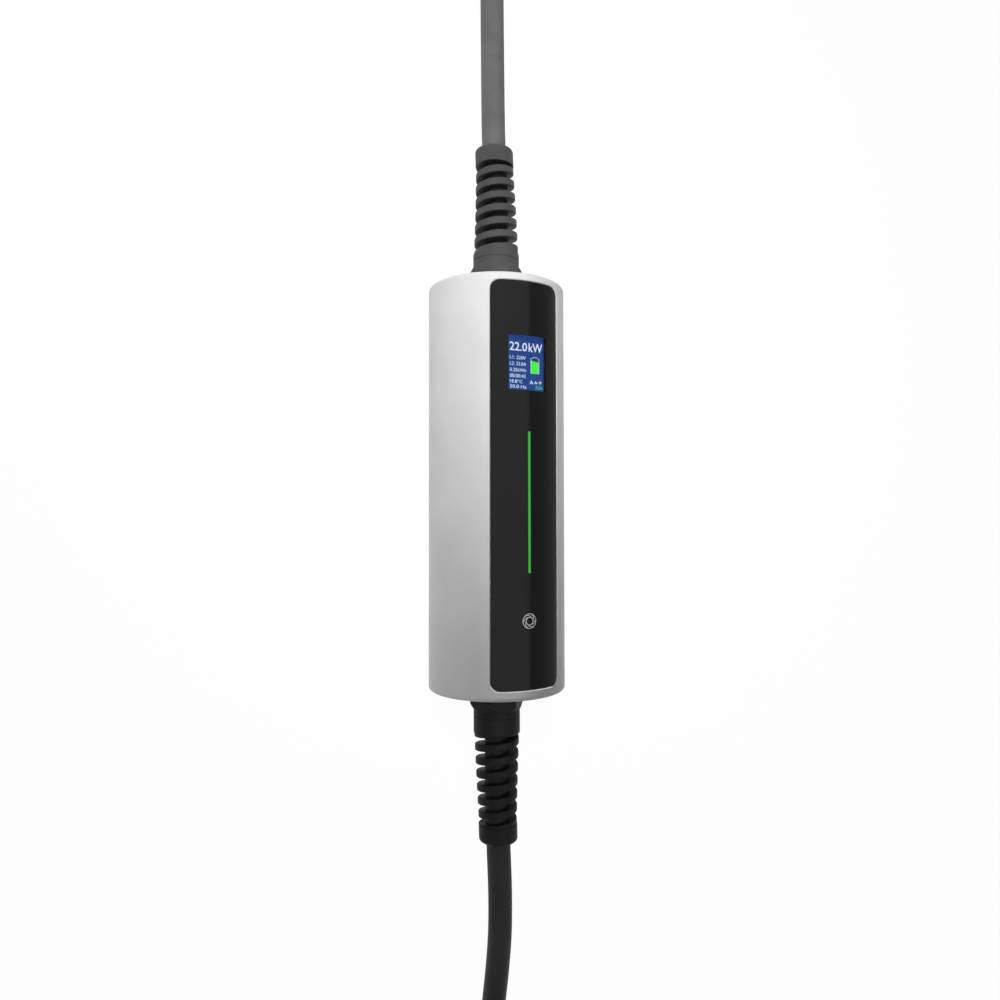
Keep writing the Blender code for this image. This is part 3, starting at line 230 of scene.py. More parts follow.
def mesh_of(bm, name):
    bmesh.ops.recalc_face_normals(bm, faces=bm.faces)
    mesh = bpy.data.meshes.new(name)
    bm.to_mesh(mesh)
    bm.free()
    return mesh


def joined(parts):
    whole = bmesh.new()
    for part in parts:
        mesh = mesh_of(part, "loose")
        whole.from_mesh(mesh)
        bpy.data.meshes.remove(mesh)
    return whole


def linked(name, data):
    obj = bpy.data.objects.new(name, data)
    bpy.context.scene.collection.objects.link(obj)
    return obj


def evaluated(obj):
    """The object's shape with its modifiers applied, as a bmesh."""
    bpy.context.view_layer.update()
    bm = bmesh.new()
    bm.from_mesh(obj.evaluated_get(bpy.context.evaluated_depsgraph_get()).to_mesh())
    return bm


def combined(base, steps):
    """Applies Booleans, given as (operation, shape), and returns the result as a bmesh."""
    work = linked("work", mesh_of(base, "work"))
    used = [work]
    for operation, shape in steps:
        step = work.modifiers.new("step", "BOOLEAN")
        step.operation = operation
        step.solver = "EXACT"
        step.object = linked("helper", mesh_of(shape, "helper"))
        used.append(step.object)
    result = evaluated(work)
    for obj in used:
        bpy.data.objects.remove(obj, do_unlink=True)
    bmesh.ops.remove_doubles(result, verts=result.verts, dist=1e-6)
    bmesh.ops.dissolve_degenerate(result, edges=result.edges, dist=1e-6)
    return result


def add_piece(name, bm, looks, replaced=(), place=BOX_PLACE, sharp=32.0):
    """A finished piece on the object's body; place is its own frame, baked into the mesh."""
    mesh = mesh_of(bm, name)
    mesh.transform(place)
    for look in looks if isinstance(looks, list) else [looks]:
        mesh.materials.append(look)
    mesh.shade_smooth()
    mesh.set_sharp_from_angle(angle=radians(sharp))
    obj = linked(name, mesh)
    obj.modifiers.new("even_normals", "WEIGHTED_NORMAL").keep_sharp = True
    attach(obj, "root")
    if replaced:
        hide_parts(*replaced)
    return obj


# Material helpers


class Nodes:
    """Short ways to add the nodes of a tree and to wire them."""

    def __init__(self, tree):
        self.tree = tree

    def add(self, kind, **inputs):
        node = self.tree.nodes.new(kind)
        for key, value in inputs.items():
            node.inputs[key.replace("_", " ")].default_value = value
        return node

    def link(self, output, target):
        self.tree.links.new(output, target)

    def fed(self, kind, output, **inputs):
        """A node with an output wired into its first socket."""
        node = self.add(kind, **inputs)
        self.link(output, node.inputs[0])
        return node

    def math(self, operation, *values):
        node = self.add("ShaderNodeMath")
        node.operation = operation
        for socket, value in zip(node.inputs, values):
            if isinstance(value, float):
                socket.default_value = value
            else:
                self.link(value, socket)
        return node.outputs[0]

    def span(self, factor, low, high, start=0.0, end=1.0):
        limits = {"From_Min": start, "From_Max": end, "To_Min": low, "To_Max": high}
        return self.fed("ShaderNodeMapRange", factor, **limits).outputs["Result"]


class Look(Nodes):
    """A node material with a Principled shader and its textures in object coordinates."""

    def __init__(self, name, **values):
        self.material = bpy.data.materials.new(name)
        self.material.use_nodes = True
        super().__init__(self.material.node_tree)
        self.shader = self.tree.nodes["Principled BSDF"]
        self.place = self.add("ShaderNodeTexCoord").outputs["Object"]
        for key, value in values.items():
            self.set(key.replace("_", " ").title().replace("Ior", "IOR"), value)

    def set(self, socket, value):
        self.shader.inputs[socket].default_value = value

    def noise(self, scale, detail=2.0, place=None):
        return self.fed("ShaderNodeTexNoise", place or self.place, Scale=scale, Detail=detail).outputs["Fac"]

    def bands(self, scale, direction="Y"):
        node = self.fed("ShaderNodeTexWave", self.place, Scale=scale)
        node.bands_direction = direction
        return node.outputs["Fac"]

    def ramp(self, factor, *stops):
        """Colours along a factor, as (place, colour or grey level) pairs."""
        node = self.fed("ShaderNodeValToRGB", factor)
        for element, (place, colour) in zip(node.color_ramp.elements, stops):
            element.position = place
            element.color = (*(colour if isinstance(colour, tuple) else [colour] * 3), 1.0)
        return node.outputs["Color"]

    def clouds(self, scale, detail, dark, pale, start=0.3, end=0.7):
        return self.ramp(self.noise(scale, detail), (start, dark), (end, pale))

    def from_black(self, share, colour, black=0.0):
        """The colour by its share, over a near black."""
        mix = self.add("ShaderNodeMix")
        mix.data_type = "RGBA"
        mix.inputs["A"].default_value = (black, black, black, 1.0)
        self.link(share, mix.inputs["Factor"])
        self.link(colour, mix.inputs["B"])
        return mix.outputs["Result"]

    def axis(self, name):
        return self.fed("ShaderNodeSeparateXYZ", self.place).outputs[name]

    def colour(self, output):
        self.link(output, self.shader.inputs["Base Color"])

    def rough(self, factor, low, high, start=0.0, end=1.0):
        self.link(self.span(factor, low, high, start, end), self.shader.inputs["Roughness"])

    def bump(self, height, depth, strength=1.0):
        """Stacks one more layer of bump of that depth in metres."""
        node = self.add("ShaderNodeBump", Strength=strength, Distance=depth)
        self.link(height, node.inputs["Height"])
        earlier = self.shader.inputs["Normal"].links
        if earlier:
            self.link(earlier[0].from_socket, node.inputs["Normal"])
        self.link(node.outputs["Normal"], self.shader.inputs["Normal"])

    def glow(self, output, strength, base):
        self.link(output, self.shader.inputs["Emission Color"])
        self.set("Emission Strength", strength)
        self.set("Base Color", (*base, 1.0))


def satin_silver():
    """Fine metallic lacquer with a faint orange-peel and sparkling flakes."""
    look = Look("satin_silver", metallic=0.03, specular_ior_level=0.25)
    flakes = look.fed("ShaderNodeTexVoronoi", look.place, Scale=5200.0).outputs["Color"]
    tints = look.fed("ShaderNodeSeparateColor", flakes).outputs
    shares = look.math("MULTIPLY", tints[0], 0.35), look.math("MULTIPLY", look.noise(22.0, 3.0), 0.65)
    stops = (0.25, (0.56, 0.562, 0.568)), (0.75, (0.68, 0.682, 0.688))
    look.colour(look.ramp(look.math("ADD", *shares), *stops))
    look.rough(look.noise(900.0), 0.36, 0.5)
    look.bump(look.noise(420.0), 0.00003, 0.35)
    look.bump(tints[1], 0.000012, 0.5)
    return look.material


def turned_silver():
    """End plates: the same lacquer over fine rings from the lathe."""
    look = Look("turned_silver", metallic=0.6)
    lathe = look.fed("ShaderNodeMapping", look.place, Location=(0.0, 0.0, -RADIUS)).outputs[0]
    rings = look.fed("ShaderNodeTexWave", lathe, Scale=420.0, Distortion=0.6)
    rings.wave_type = "RINGS"
    rings.rings_direction = "Y"
    look.colour(look.clouds(30.0, 3.0, (0.52, 0.525, 0.535), (0.66, 0.665, 0.67)))
    look.rough(rings.outputs["Fac"], 0.34, 0.48)
    look.bump(rings.outputs["Fac"], 0.00002, 0.4)
    return look.material


def gloss_black():
    """Polished black cover with hairline wipe marks and a trace of dust."""
    look = Look("gloss_black", specular_ior_level=0.09)
    look.colour(look.clouds(14.0, 4.0, 0.003, 0.0046))
    stretched = look.fed("ShaderNodeMapping", look.place, Scale=(14.0, 1.0, 14.0)).outputs[0]
    look.rough(look.noise(60.0, 3.0, stretched), 0.14, 0.24, 0.35, 0.7)
    look.bump(look.noise(70.0), 0.00002, 0.12)
    return look.material


def moulded(name, dark, pale, grain=1500.0, rough=(0.42, 0.6), specular=0.4):
    """Moulded plastic: spark-eroded grain, faint flow clouds and slightly worn high spots."""
    look = Look(name, specular_ior_level=specular)
    look.colour(look.clouds(45.0, 4.0, dark, pale, 0.3, 0.72))
    look.rough(look.noise(300.0, 3.0), *rough)
    look.bump(look.noise(grain, 3.0), 0.00005, 0.3)
    look.bump(look.noise(grain / 12), 0.00006, 0.18)
    return look.material


def jacket(name, dark, pale, painted_shade_below=None):
    """Extruded sheath: fine lengthwise drag lines, scuffs and a dull sheen; may be painted near black under
    its spiral, as painted shade.
    """
    look = Look(name, specular_ior_level=0.15, sheen_weight=0.03, sheen_roughness=0.5)
    worn_and_shaded = look.clouds(60.0, 4.0, dark, pale, 0.28, 0.75)
    if painted_shade_below:
        # Painted shade: below this distance along Y, inside the spiral and its collar, the colour turns near
        # black
        share = look.span(look.axis("Y"), 0.0, 1.0, painted_shade_below - 0.006, painted_shade_below)
        worn_and_shaded = look.from_black(share, worn_and_shaded, 0.008)
    look.colour(worn_and_shaded)
    look.rough(look.noise(220.0, 3.0), 0.48, 0.66)
    look.bump(look.noise(900.0, 3.0), 0.00006, 0.25)
    look.bump(look.noise(55.0), 0.00012, 0.2)
    return look.material


def screen_blue():
    """Lit display: blue field with a slightly uneven glow and a fine dot pitch."""
    look = Look("screen_blue", specular_ior_level=0.05, roughness=0.35)
    field = look.clouds(30.0, 2.0, (0.01, 0.038, 0.165), (0.015, 0.05, 0.2))
    look.glow(field, 0.95, (0.004, 0.01, 0.035))
    look.bump(look.bands(5200.0, "X"), 0.00001, 0.1)
    return look.material


def lit(name, low, high, strength, scale=120.0, half_width=None):
    """A lit mark or lens with a slightly uneven glow, which may fall to a tenth past a half width."""
    look = Look(name, roughness=0.35, specular_ior_level=0.06)
    glow = look.clouds(scale, 2.0, low, high)
    if half_width:
        off = look.math("ABSOLUTE", look.axis("X"))
        glow = look.from_black(look.span(off, 1.0, 0.1, half_width, half_width + 0.0002), glow)
    look.glow(glow, strength, (0.012, 0.016, 0.014))
    return look.material


def glass():
    look = Look("cover_glass", transmission_weight=1.0, ior=1.03, specular_ior_level=0.1)
    look.set("Base Color", (0.93, 0.95, 0.98, 1.0))
    look.rough(look.noise(80.0, 3.0), 0.0, 0.012, 0.4, 0.8)
    look.bump(look.noise(40.0, 1.0), 0.00001, 0.04)
    return look.material


def ink():
    look = Look("printed_mark", specular_ior_level=0.3)
    look.colour(look.clouds(700.0, 3.0, 0.62, 0.8))
    look.rough(look.noise(500.0), 0.45, 0.6)
    return look.material


def metal(name, dark, pale, rough=(0.22, 0.38), turned_marks=0.0):
    look = Look(name, metallic=1.0)
    look.colour(look.clouds(90.0, 4.0, dark, pale))
    look.rough(look.noise(260.0, 3.0), *rough)
    look.bump(look.noise(1100.0), 0.00002, 0.25)
    if turned_marks:
        look.bump(look.bands(turned_marks), 0.00002, 0.2)
    return look.material


def webbing():
    """Woven tie: narrow ribs across the strap with a slightly frayed pile."""
    look = Look("webbing", sheen_weight=0.25, sheen_roughness=0.4, specular_ior_level=0.2)
    weave = look.math("MULTIPLY", look.bands(900.0), look.bands(900.0, "DIAGONAL"))
    look.colour(look.ramp(weave, (0.05, 0.01), (0.75, 0.04)))
    look.rough(look.noise(600.0, 3.0), 0.75, 0.95)
    look.bump(weave, 0.00025, 0.7)
    look.bump(look.noise(1800.0, 3.0), 0.00015, 0.5)
    return look.material


def board(name, dark, pale):
    """Solder-masked board with tracks under the mask."""
    look = Look(name, specular_ior_level=0.5)
    tracks = look.fed("ShaderNodeTexBrick", look.place, Scale=95.0)
    for socket, colour in (("Color1", dark), ("Color2", pale), ("Mortar", [c * 1.7 for c in pale])):
        tracks.inputs[socket].default_value = (*colour, 1.0)
    look.colour(tracks.outputs["Color"])
    look.rough(look.noise(200.0), 0.3, 0.5)
    look.bump(tracks.outputs["Fac"], 0.00004, 0.4)
    return look.material


SILVER = satin_silver()
# Painted highlight: a bright metal finish given only to the lower edge of the panel opening's chamfer
HIGHLIT_CHAMFER = metal("chamfer_painted_highlight", (0.84, 0.84, 0.85), (0.96, 0.96, 0.97), (0.16, 0.28), 900.0)
TURNED = turned_silver()
GLOSS = gloss_black()
GREY_PLASTIC = moulded("grey_plastic", 0.048, 0.07, specular=0.12)
BLACK_PLASTIC = moulded("black_plastic", 0.007, 0.0115, specular=0.09)
# Painted shade: the supply jacket is painted near black below 0.2345 along Y, under its spiral
GREY_JACKET = jacket("grey_jacket", 0.09, 0.128, 0.2345)
BLACK_JACKET = jacket("black_jacket", 0.0165, 0.028)
RED_PLASTIC = moulded("red_plastic", (0.4, 0.016, 0.012), (0.52, 0.026, 0.02), 1200.0, (0.32, 0.5), 0.5)
GRIP_PLASTIC = moulded("grip_plastic", 0.016, 0.028, 900.0, (0.55, 0.75), 0.3)
NOSE_PLASTIC = moulded("nose_plastic", 0.02, 0.034, 1800.0, (0.3, 0.45), 0.5)
RUBBER = moulded("soft_rubber", 0.012, 0.022, 700.0, (0.65, 0.85), 0.25)
SCREEN = screen_blue()
WHITE_LIT = lit("lit_white", (0.72, 0.76, 0.88), (0.86, 0.9, 1.0), 0.95)
PALE_LIT = lit("lit_pale", (0.62, 0.74, 0.96), (0.78, 0.9, 1.0), 1.0)
GREEN_LIT = lit("lit_green", (0.04, 0.86, 0.045), (0.055, 1.0, 0.06), 0.95)
DIM_GREEN_LIT = lit("lit_dim_green", (0.055, 0.48, 0.2), (0.07, 0.6, 0.26), 0.9)
DARK_LIT = lit("lit_dark", (0.006, 0.028, 0.095), (0.01, 0.038, 0.12), 0.8)
LIGHT_LENS = lit("light_lens", (0.036, 0.36, 0.032), (0.054, 0.46, 0.048), 0.95, 60.0, 0.0007)
GLASS = glass()
INK = ink()
STEEL = metal("screw_steel", (0.42, 0.42, 0.43), (0.6, 0.6, 0.61))
PLATED = metal("plated_metal", (0.58, 0.56, 0.5), (0.74, 0.72, 0.66), (0.18, 0.32), 600.0)
COPPER = metal("copper_loom", (0.55, 0.25, 0.12), (0.78, 0.38, 0.2))
WEBBING = webbing()
BOARD = board("green_board", (0.012, 0.11, 0.045), (0.02, 0.165, 0.07))
PALE_PART = moulded("pale_component", 0.56, 0.7, 900.0, (0.4, 0.55), 0.4)
DARK_PART = moulded("dark_component", 0.03, 0.052, 900.0, (0.35, 0.5), 0.5)
YELLOW_PART = moulded("yellow_component", (0.5, 0.36, 0.04), (0.66, 0.48, 0.07), 900.0, (0.4, 0.55), 0.4)

SLOT_LOOKS = {
    "satin_aluminium": SILVER,
    "black_gloss": GLOSS,
    "black_plastic": BLACK_PLASTIC,
    "clear_window": GLASS,
    "green_light": LIGHT_LENS,
    "rubber": RUBBER,
    "cable_jacket": BLACK_JACKET,
    "board_green": BOARD,
    "steel": STEEL,
    "plated_metal": PLATED,
    "component_white": PALE_PART,
    "component_dark": DARK_PART,
    "component_yellow": YELLOW_PART,
    "copper": COPPER,
    "plug_red": RED_PLASTIC,
    "strap": WEBBING,
}


def dress_frame():
    """Gives every node of the frame its finish, by the material slot that it has."""
    for node in frame["nodes"].values():
        for i, used in enumerate(node.material_slots):
            name = used.material.name.split(".")[0] if used.material else ""
            if name in SLOT_LOOKS:
                node.material_slots[i].link = "OBJECT"
                node.material_slots[i].material = SLOT_LOOKS[name]
            else:
                print("no look for", node.name, name)


# Camera, light and floor


def make_camera():
    lens = bpy.data.cameras.new("camera")
    lens.sensor_width = 36.0
    lens.lens = 29.146
    lens.clip_start = 0.01
    lens.clip_end = 50.0
    camera = linked("camera", lens)
    right = Vector((0.88958, -0.0016, 0.45677)).normalized()
    back = -Vector((0.45665, 0.0258, -0.88927)).normalized()
    up = back.cross(right).normalized()
    right = up.cross(back).normalized()
    turn = Matrix((right, up, back)).transposed().to_4x4()
    camera.matrix_world = Matrix.Translation((-0.25017, -0.02239, 0.5385)) @ turn
    bpy.context.scene.camera = camera


def add_light(name, lamp, place, target, watts):
    lamp.energy = watts
    obj = linked(name, lamp)
    obj.location = place
    obj.rotation_euler = (Vector(target) - Vector(place)).to_track_quat("-Z", "Y").to_euler()
    return obj


def make_lights():
    """A soft key over the supply end and a broad sheet overhead that the glossy cover mirrors."""
    spot = bpy.data.lights.new("key", "SPOT")
    spot.spot_size = radians(44.0)
    spot.spot_blend = 1.0
    spot.shadow_soft_size = 0.12
    add_light("key", spot, (-0.32, 0.42, 0.88), (0.0, 0.22, 0.09), 41.0).visible_glossy = False
    sheet = bpy.data.lights.new("sheet", "AREA")
    sheet.shape = "RECTANGLE"
    sheet.size, sheet.size_y = 1.35, 1.3
    add_light("sheet", sheet, (-0.175, 0.05, 1.0), (-0.175, 0.05, 0.0), 10.0).visible_diffuse = False


def seen_directly(nodes):
    """1 for camera, glossy and transmission rays, and 0 for the rest."""
    path = nodes.add("ShaderNodeLightPath").outputs
    share = nodes.math("MAXIMUM", path["Is Camera Ray"], path["Is Glossy Ray"])
    return nodes.math("MAXIMUM", share, path["Is Transmission Ray"])


def make_floor():
    """White paper that glows a little, and far more where it is seen directly."""
    size = 4.0
    corners = [(-size, -size, 0.0), (size, -size, 0.0), (size, size, 0.0), (-size, size, 0.0)]
    mesh = bpy.data.meshes.new("floor")
    mesh.from_pydata(corners, [], [(0, 1, 2, 3)])
    white = bpy.data.materials.new("floor_white")
    white.use_nodes = True
    nodes = Nodes(white.node_tree)
    nodes.tree.nodes.clear()
    share = nodes.math("MULTIPLY_ADD", seen_directly(nodes), 0.58, 0.35)
    paper = nodes.add("ShaderNodeBsdfDiffuse", Color=(0.86, 0.86, 0.86, 1.0))
    glow = nodes.add("ShaderNodeEmission", Color=(1.0, 1.0, 1.0, 1.0), Strength=1.05)
    mix = nodes.fed("ShaderNodeMixShader", share)
    nodes.link(paper.outputs[0], mix.inputs[1])
    nodes.link(glow.outputs[0], mix.inputs[2])
    nodes.fed("ShaderNodeOutputMaterial", mix.outputs[0])
    mesh.materials.append(white)
    floor = linked("floor", mesh)


def make_world():
    """White where it is seen directly, and a dim light from below and one side for the rest."""
    world = bpy.data.worlds.new("studio")
    bpy.context.scene.world = world
    world.use_nodes = True
    nodes = Nodes(world.node_tree)
    lean = nodes.fed("ShaderNodeVectorMath", nodes.add("ShaderNodeTexCoord").outputs["Generated"])
    lean.operation = "DOT_PRODUCT"
    lean.inputs[1].default_value = (-0.5, 0.0, -0.86)
    level = nodes.fed("ShaderNodeMapRange", seen_directly(nodes))
    nodes.link(nodes.span(lean.outputs["Value"], 0.0, 0.72, -1.0), level.inputs["To Min"])
    ground = nodes.tree.nodes["Background"].inputs
    nodes.link(level.outputs["Result"], ground["Strength"])
    ground["Color"].default_value = (1.0, 1.0, 1.0, 1.0)
    bpy.context.scene.view_settings.view_transform = "Standard"


# Cords


def smooth(points, per_span=6):
    """Points along a smooth curve that passes through the given ones."""
    ends = [2 * Vector(points[0]) - Vector(points[1]), 2 * Vector(points[-1]) - Vector(points[-2])]
    knots = [ends[0], *map(Vector, points), ends[1]]
    line = []
    for a, b, c, d in zip(knots, knots[1:], knots[2:], knots[3:]):
        for i in range(per_span):
            t = i / per_span
            line.append(
                0.5 * (2 * b + (c - a) * t + (2 * a - 5 * b + 4 * c - d) * t**2)
                + 0.5 * (3 * b - a - 3 * c + d) * t**3
            )
    return [*line, Vector(points[-1])]


def length_of(line):
    return sum((b - a).length for a, b in zip(line, line[1:]))


def resampled(line, step):
    """Points evenly spaced along a line, both ends kept."""
    total = length_of(line)
    count = max(1, round(total / step))
    made, gone, i = [line[0].copy()], 0.0, 0
    for k in range(1, count):
        want = total * k / count
        while gone + (line[i + 1] - line[i]).length < want:
            gone += (line[i + 1] - line[i]).length
            i += 1
        span = (line[i + 1] - line[i]).length
        made.append(line[i].lerp(line[i + 1], (want - gone) / span))
    return [*made, line[-1].copy()]


def hank_winding(step=0.006):
    """The hank's line: three layers of two nested turns, each move between them on a straight run."""
    layers = [HANK_BASE + CABLE * (i + 0.5) for i in range(3)]
    slots = [(RING_OUT, 0), (RING_IN, 0), (RING_IN, 1), (RING_OUT, 1), (RING_OUT, 2), (RING_IN, 2)]
    fold = pi * RING_MEAN
    loop = 2 * fold + 2 * HANK_RUN

    def folded(radius, far, angle, z):
        return Vector((radius * sin(angle), far + radius * cos(angle), z))

    def place(along):
        k = 0.0
        for move in range(5):
            start = (move + 1) * loop + 0.03 + 0.062 * (4 - move)
            share = min(1.0, max(0.0, (along - start) / 0.09))
            k += 0.5 - 0.5 * cos(pi * share)
        low, mix = min(int(k), 5), k - int(k)
        high = min(low + 1, 5)
        radius = slots[low][0] * (1 - mix) + slots[high][0] * mix
        z = layers[slots[low][1]] * (1 - mix) + layers[slots[high][1]] * mix
        q = along % loop
        if q < HANK_RUN:
            return Vector((-radius, HANK_FAR + q, z))
        q -= HANK_RUN
        if q < fold:
            return folded(radius, HANK_NEAR, -pi / 2 + q / RING_MEAN, z)
        q -= fold
        if q < HANK_RUN:
            return Vector((radius, HANK_NEAR - q, z))
        return folded(radius, HANK_FAR, pi / 2 + (q - HANK_RUN) / RING_MEAN, z)

    start = HANK_RUN + (HANK_JOIN + pi / 2) * RING_MEAN
    end = 6 * loop
    count = round((end - start) / step)
    return [place(start + (end - 1e-6 - start) * i / count) for i in range(count + 1)]


def lead_bend():
    """The quarter turn that takes the lead from the last point of its route into the hank."""
    x, y, radius = 0.085, -0.355, 0.08
    route_x, route_y, route_z = VEHICLE_ROUTE[-1]
    first = atan2(route_y - y, route_x - x) % tau
    tip = (RING_OUT * sin(HANK_JOIN), HANK_NEAR + RING_OUT * cos(HANK_JOIN))
    last = atan2(tip[1] - y, tip[0] - x) % tau
    made = []
    for i in range(1, 4):
        a = first + (last - first) * i / 4
        drop = 0.5 - 0.5 * cos(pi * i / 4)
        z = route_z + (HANK_BASE + CABLE / 2 - route_z) * drop
        made.append(Vector((x + radius * cos(a), y + radius * sin(a), z)))
    return made


def add_cord(name, line, look, replaced):
    curve = bpy.data.curves.new(name, "CURVE")
    curve.dimensions = "3D"
    curve.bevel_depth = CABLE / 2
    curve.bevel_resolution = 8
    curve.use_fill_caps = True
    spline = curve.splines.new("POLY")
    spline.points.add(len(line) - 1)
    for point, place in zip(spline.points, line):
        point.co = (*place, 1.0)
    spline.use_smooth = True
    curve.materials.append(look)
    obj = linked(name, curve)
    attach(obj, "root")
    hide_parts(*replaced)
    return obj


def make_cords(plug, connector):
    supply = resampled(smooth(SUPPLY_ROUTE), 0.01)
    supply_cord = add_cord("supply_cord", supply, GREY_JACKET, ["supply_lead"])
    winding = hank_winding()
    lead = resampled(smooth([*VEHICLE_ROUTE, *lead_bend(), winding[0]]), 0.01)
    tail = resampled(smooth([winding[-1], *TAIL_ROUTE]), 0.008)
    vehicle = lead + winding[1:] + tail[1:]
    vehicle_cord = add_cord(
        "vehicle_cord", vehicle, BLACK_JACKET, ["vehicle_lead", "lead_hank", "vehicle_lead_tail"]
    )


# Control box


def wrapped(s, y, radius):
    """A point of the box's round surface, by arc length across and distance along."""
    return polar(radius, y, s / RADIUS)


def edge_chain(grow, corner_steps=8, middle=32):
    """The lower edge of the panel's outline, left to right, as (arc length, height above its bottom)."""
    inset = PANEL_WIDE - PANEL_CORNER
    corner = PANEL_CORNER + grow
    left = []
    for i in range(corner_steps + 1):
        a = pi / 2 * i / corner_steps
        left.append((-inset - corner * cos(a), corner * (1 - sin(a))))
    flat = [(-inset + 2 * inset * i / middle, 0.0) for i in range(1, middle)]
    return left + flat + [(-s, lift) for s, lift in reversed(left)]


def outline_loop(bm, grow, radius):
    """Vertices of the outline's lower and upper chains on a surface of that radius."""
    chain = edge_chain(grow)
    low = [bm.verts.new(wrapped(s, PANEL_BOTTOM - grow + lift, radius)) for s, lift in chain]
    high = [bm.verts.new(wrapped(s, PANEL_TOP + grow - lift, radius)) for s, lift in chain]
    return low, high


def as_loop(pair):
    return pair[0] + pair[1][::-1]


def around(grow, columns=150):
    """Arc lengths all the way round: the outline's own chain and then the plain part."""
    chain = [s for s, _ in edge_chain(grow)]
    span = tau * RADIUS - 2 * chain[-1]
    return chain + [chain[-1] + span * i / columns for i in range(1, columns)]


def round_wall(bm, rows, opening):
    """The tube's wall at one depth, from its low row to its high row, round the panel's opening."""
    low_row, high_row = rows
    low, high = opening
    last = len(low) - 1
    for j in range(last):
        bm.faces.new((low_row[j], low_row[j + 1], low[j + 1], low[j]))
        bm.faces.new((high[j], high[j + 1], high_row[j + 1], high_row[j]))
    for j in range(last, len(low_row)):
        k = (j + 1) % len(low_row)
        left = [low[last], high[last]] if j == last else []
        right = [high[0], low[0]] if k == 0 else []
        bm.faces.new([low_row[k], *right[::-1], high_row[k], high_row[j], *left[::-1], low_row[j]])


def make_housing():
    """The tube with its rounded rims and the chamfered, stepped opening for the panel."""
    chamfer = 0.0005
    highlight_end = 0.0185
    bm = bmesh.new()
    outer_at = around(FIT + chamfer)
    inner_at = around(-LEDGE)
    profile = [(RADIUS, HALF - RIM)]
    for i in range(1, 9):
        a = pi / 2 * i / 8
        profile.append((RADIUS - RIM * (1 - cos(a)), HALF - RIM * (1 - sin(a))))
    profile += [(BORE + 0.0006, HALF), (BORE + FIT, HALF - 0.0003)]
    profile += [(BORE + FIT, HALF - RECESS), (BORE, HALF - RECESS)]
    ends = []
    for side in (-1, 1):
        rows = []
        for n, (radius, y) in enumerate(profile):
            share = n / (len(profile) - 1)
            at = [a * (1 - share) + b * share for a, b in zip(outer_at, inner_at)]
            rows.append([bm.verts.new(wrapped(s, side * y, radius)) for s in at])
        for near, far in zip(rows, rows[1:]):
            strip(bm, near, far)
        ends.append(rows)
    steps = [(FIT + chamfer, RADIUS), (FIT, RADIUS - chamfer)]
    steps += [(FIT, POCKET), (-LEDGE, POCKET), (-LEDGE, BORE)]
    openings = [outline_loop(bm, *step) for step in steps]
    for near, far in zip(openings, openings[1:]):
        strip(bm, as_loop(near), as_loop(far))
    chamfer_verts = set(as_loop(openings[0])) | set(as_loop(openings[1]))
    for face in bm.faces:
        face.normal_update()
        # Painted highlight: the chamfer along the opening's lower edge, short of its right corner, gets a
        # bright metal finish for the light it catches
        x, y, _ = face.verts[0].co
        if chamfer_verts.issuperset(face.verts) and abs(face.normal.y) > 0.3 and y < 0 and x < highlight_end:
            face.material_index = 1
    for n in (0, -1):
        round_wall(bm, (ends[0][n], ends[1][n]), openings[n])
    looks = [SILVER, HIGHLIT_CHAMFER]
    add_piece("housing_shell", bm, looks, ["housing_tube"], sharp=40.0)


def make_panel():
    """The glossy cover: a curved plate with its edge rolled over, open for the display and the light."""
    play = 0.00008
    face = RADIUS - 0.00005
    screen = RADIUS * asin((SCREEN_WIDE + play) / RADIUS)
    light = LIGHT_WIDE + play
    chain = edge_chain(0.0, 8, 26)
    extra = [-screen, -light, light, screen]
    flat = [s for s, lift in chain if lift < 1e-9 and min(abs(s - e) for e in extra) > 0.0004]
    bends = [(s, lift) for s, lift in chain if lift >= 1e-9]
    columns = sorted([(s, 0.0) for s in [*flat, *extra]] + bends)
    levels = [SCREEN_TOP + play, SCREEN_BOTTOM - play, LIGHT_TOP + play, LIGHT_BOTTOM - play]
    grid = []
    bm = bmesh.new()
    for s, lift in columns:
        heights = [PANEL_TOP - lift, *levels, PANEL_BOTTOM + lift]
        grid.append([bm.verts.new(wrapped(s, y, face)) for y in heights])
    for (s, _), (t, _), left, right in zip(columns, columns[1:], grid, grid[1:]):
        middle = abs(s + t) / 2
        for row in range(5):
            if not (row == 1 and middle < screen or row == 3 and middle < light):
                bm.faces.new((left[row], right[row], right[row + 1], left[row + 1]))
    tops = list(bm.faces)
    scale = (RADIUS - PANEL_THICK) / face
    under = {v: bm.verts.new((v.co.x * scale, v.co.y, v.co.z * scale)) for v in list(bm.verts)}
    for top in tops:
        bm.faces.new([under[v] for v in reversed(top.verts)])
    rims = [e for e in bm.edges if len(e.link_faces) == 1 and e.verts[0] in under]
    for rim in rims:
        a, b = rim.verts
        bm.faces.new((a, b, under[b], under[a]))
    bmesh.ops.recalc_face_normals(bm, faces=bm.faces)
    bmesh.ops.bevel(bm, geom=rims, offset=0.00035, segments=3, profile=0.5, affect="EDGES")
    add_piece("panel_cover", bm, GLOSS, ["front_panel"], sharp=35.0)


def make_window():
    """The cover glass: curved outside like the panel and flat inside, over the display."""
    flat = sqrt((RADIUS - PANEL_THICK) ** 2 - (0.017 + FIT) ** 2)
    steps = 18
    columns = []
    for i in range(steps + 1):
        x = -SCREEN_WIDE + 2 * SCREEN_WIDE * i / steps
        z = sqrt((RADIUS - 0.00006) ** 2 - x**2)
        low, high = SCREEN_BOTTOM, SCREEN_TOP
        columns.append([(x, low, z), (x, high, z), (x, high, flat), (x, low, flat)])
    pane = softly_edged(loft(columns), 0.00012, 2, 60.0)
    add_piece("window_pane", pane, GLASS, ["display_window"])
    return flat


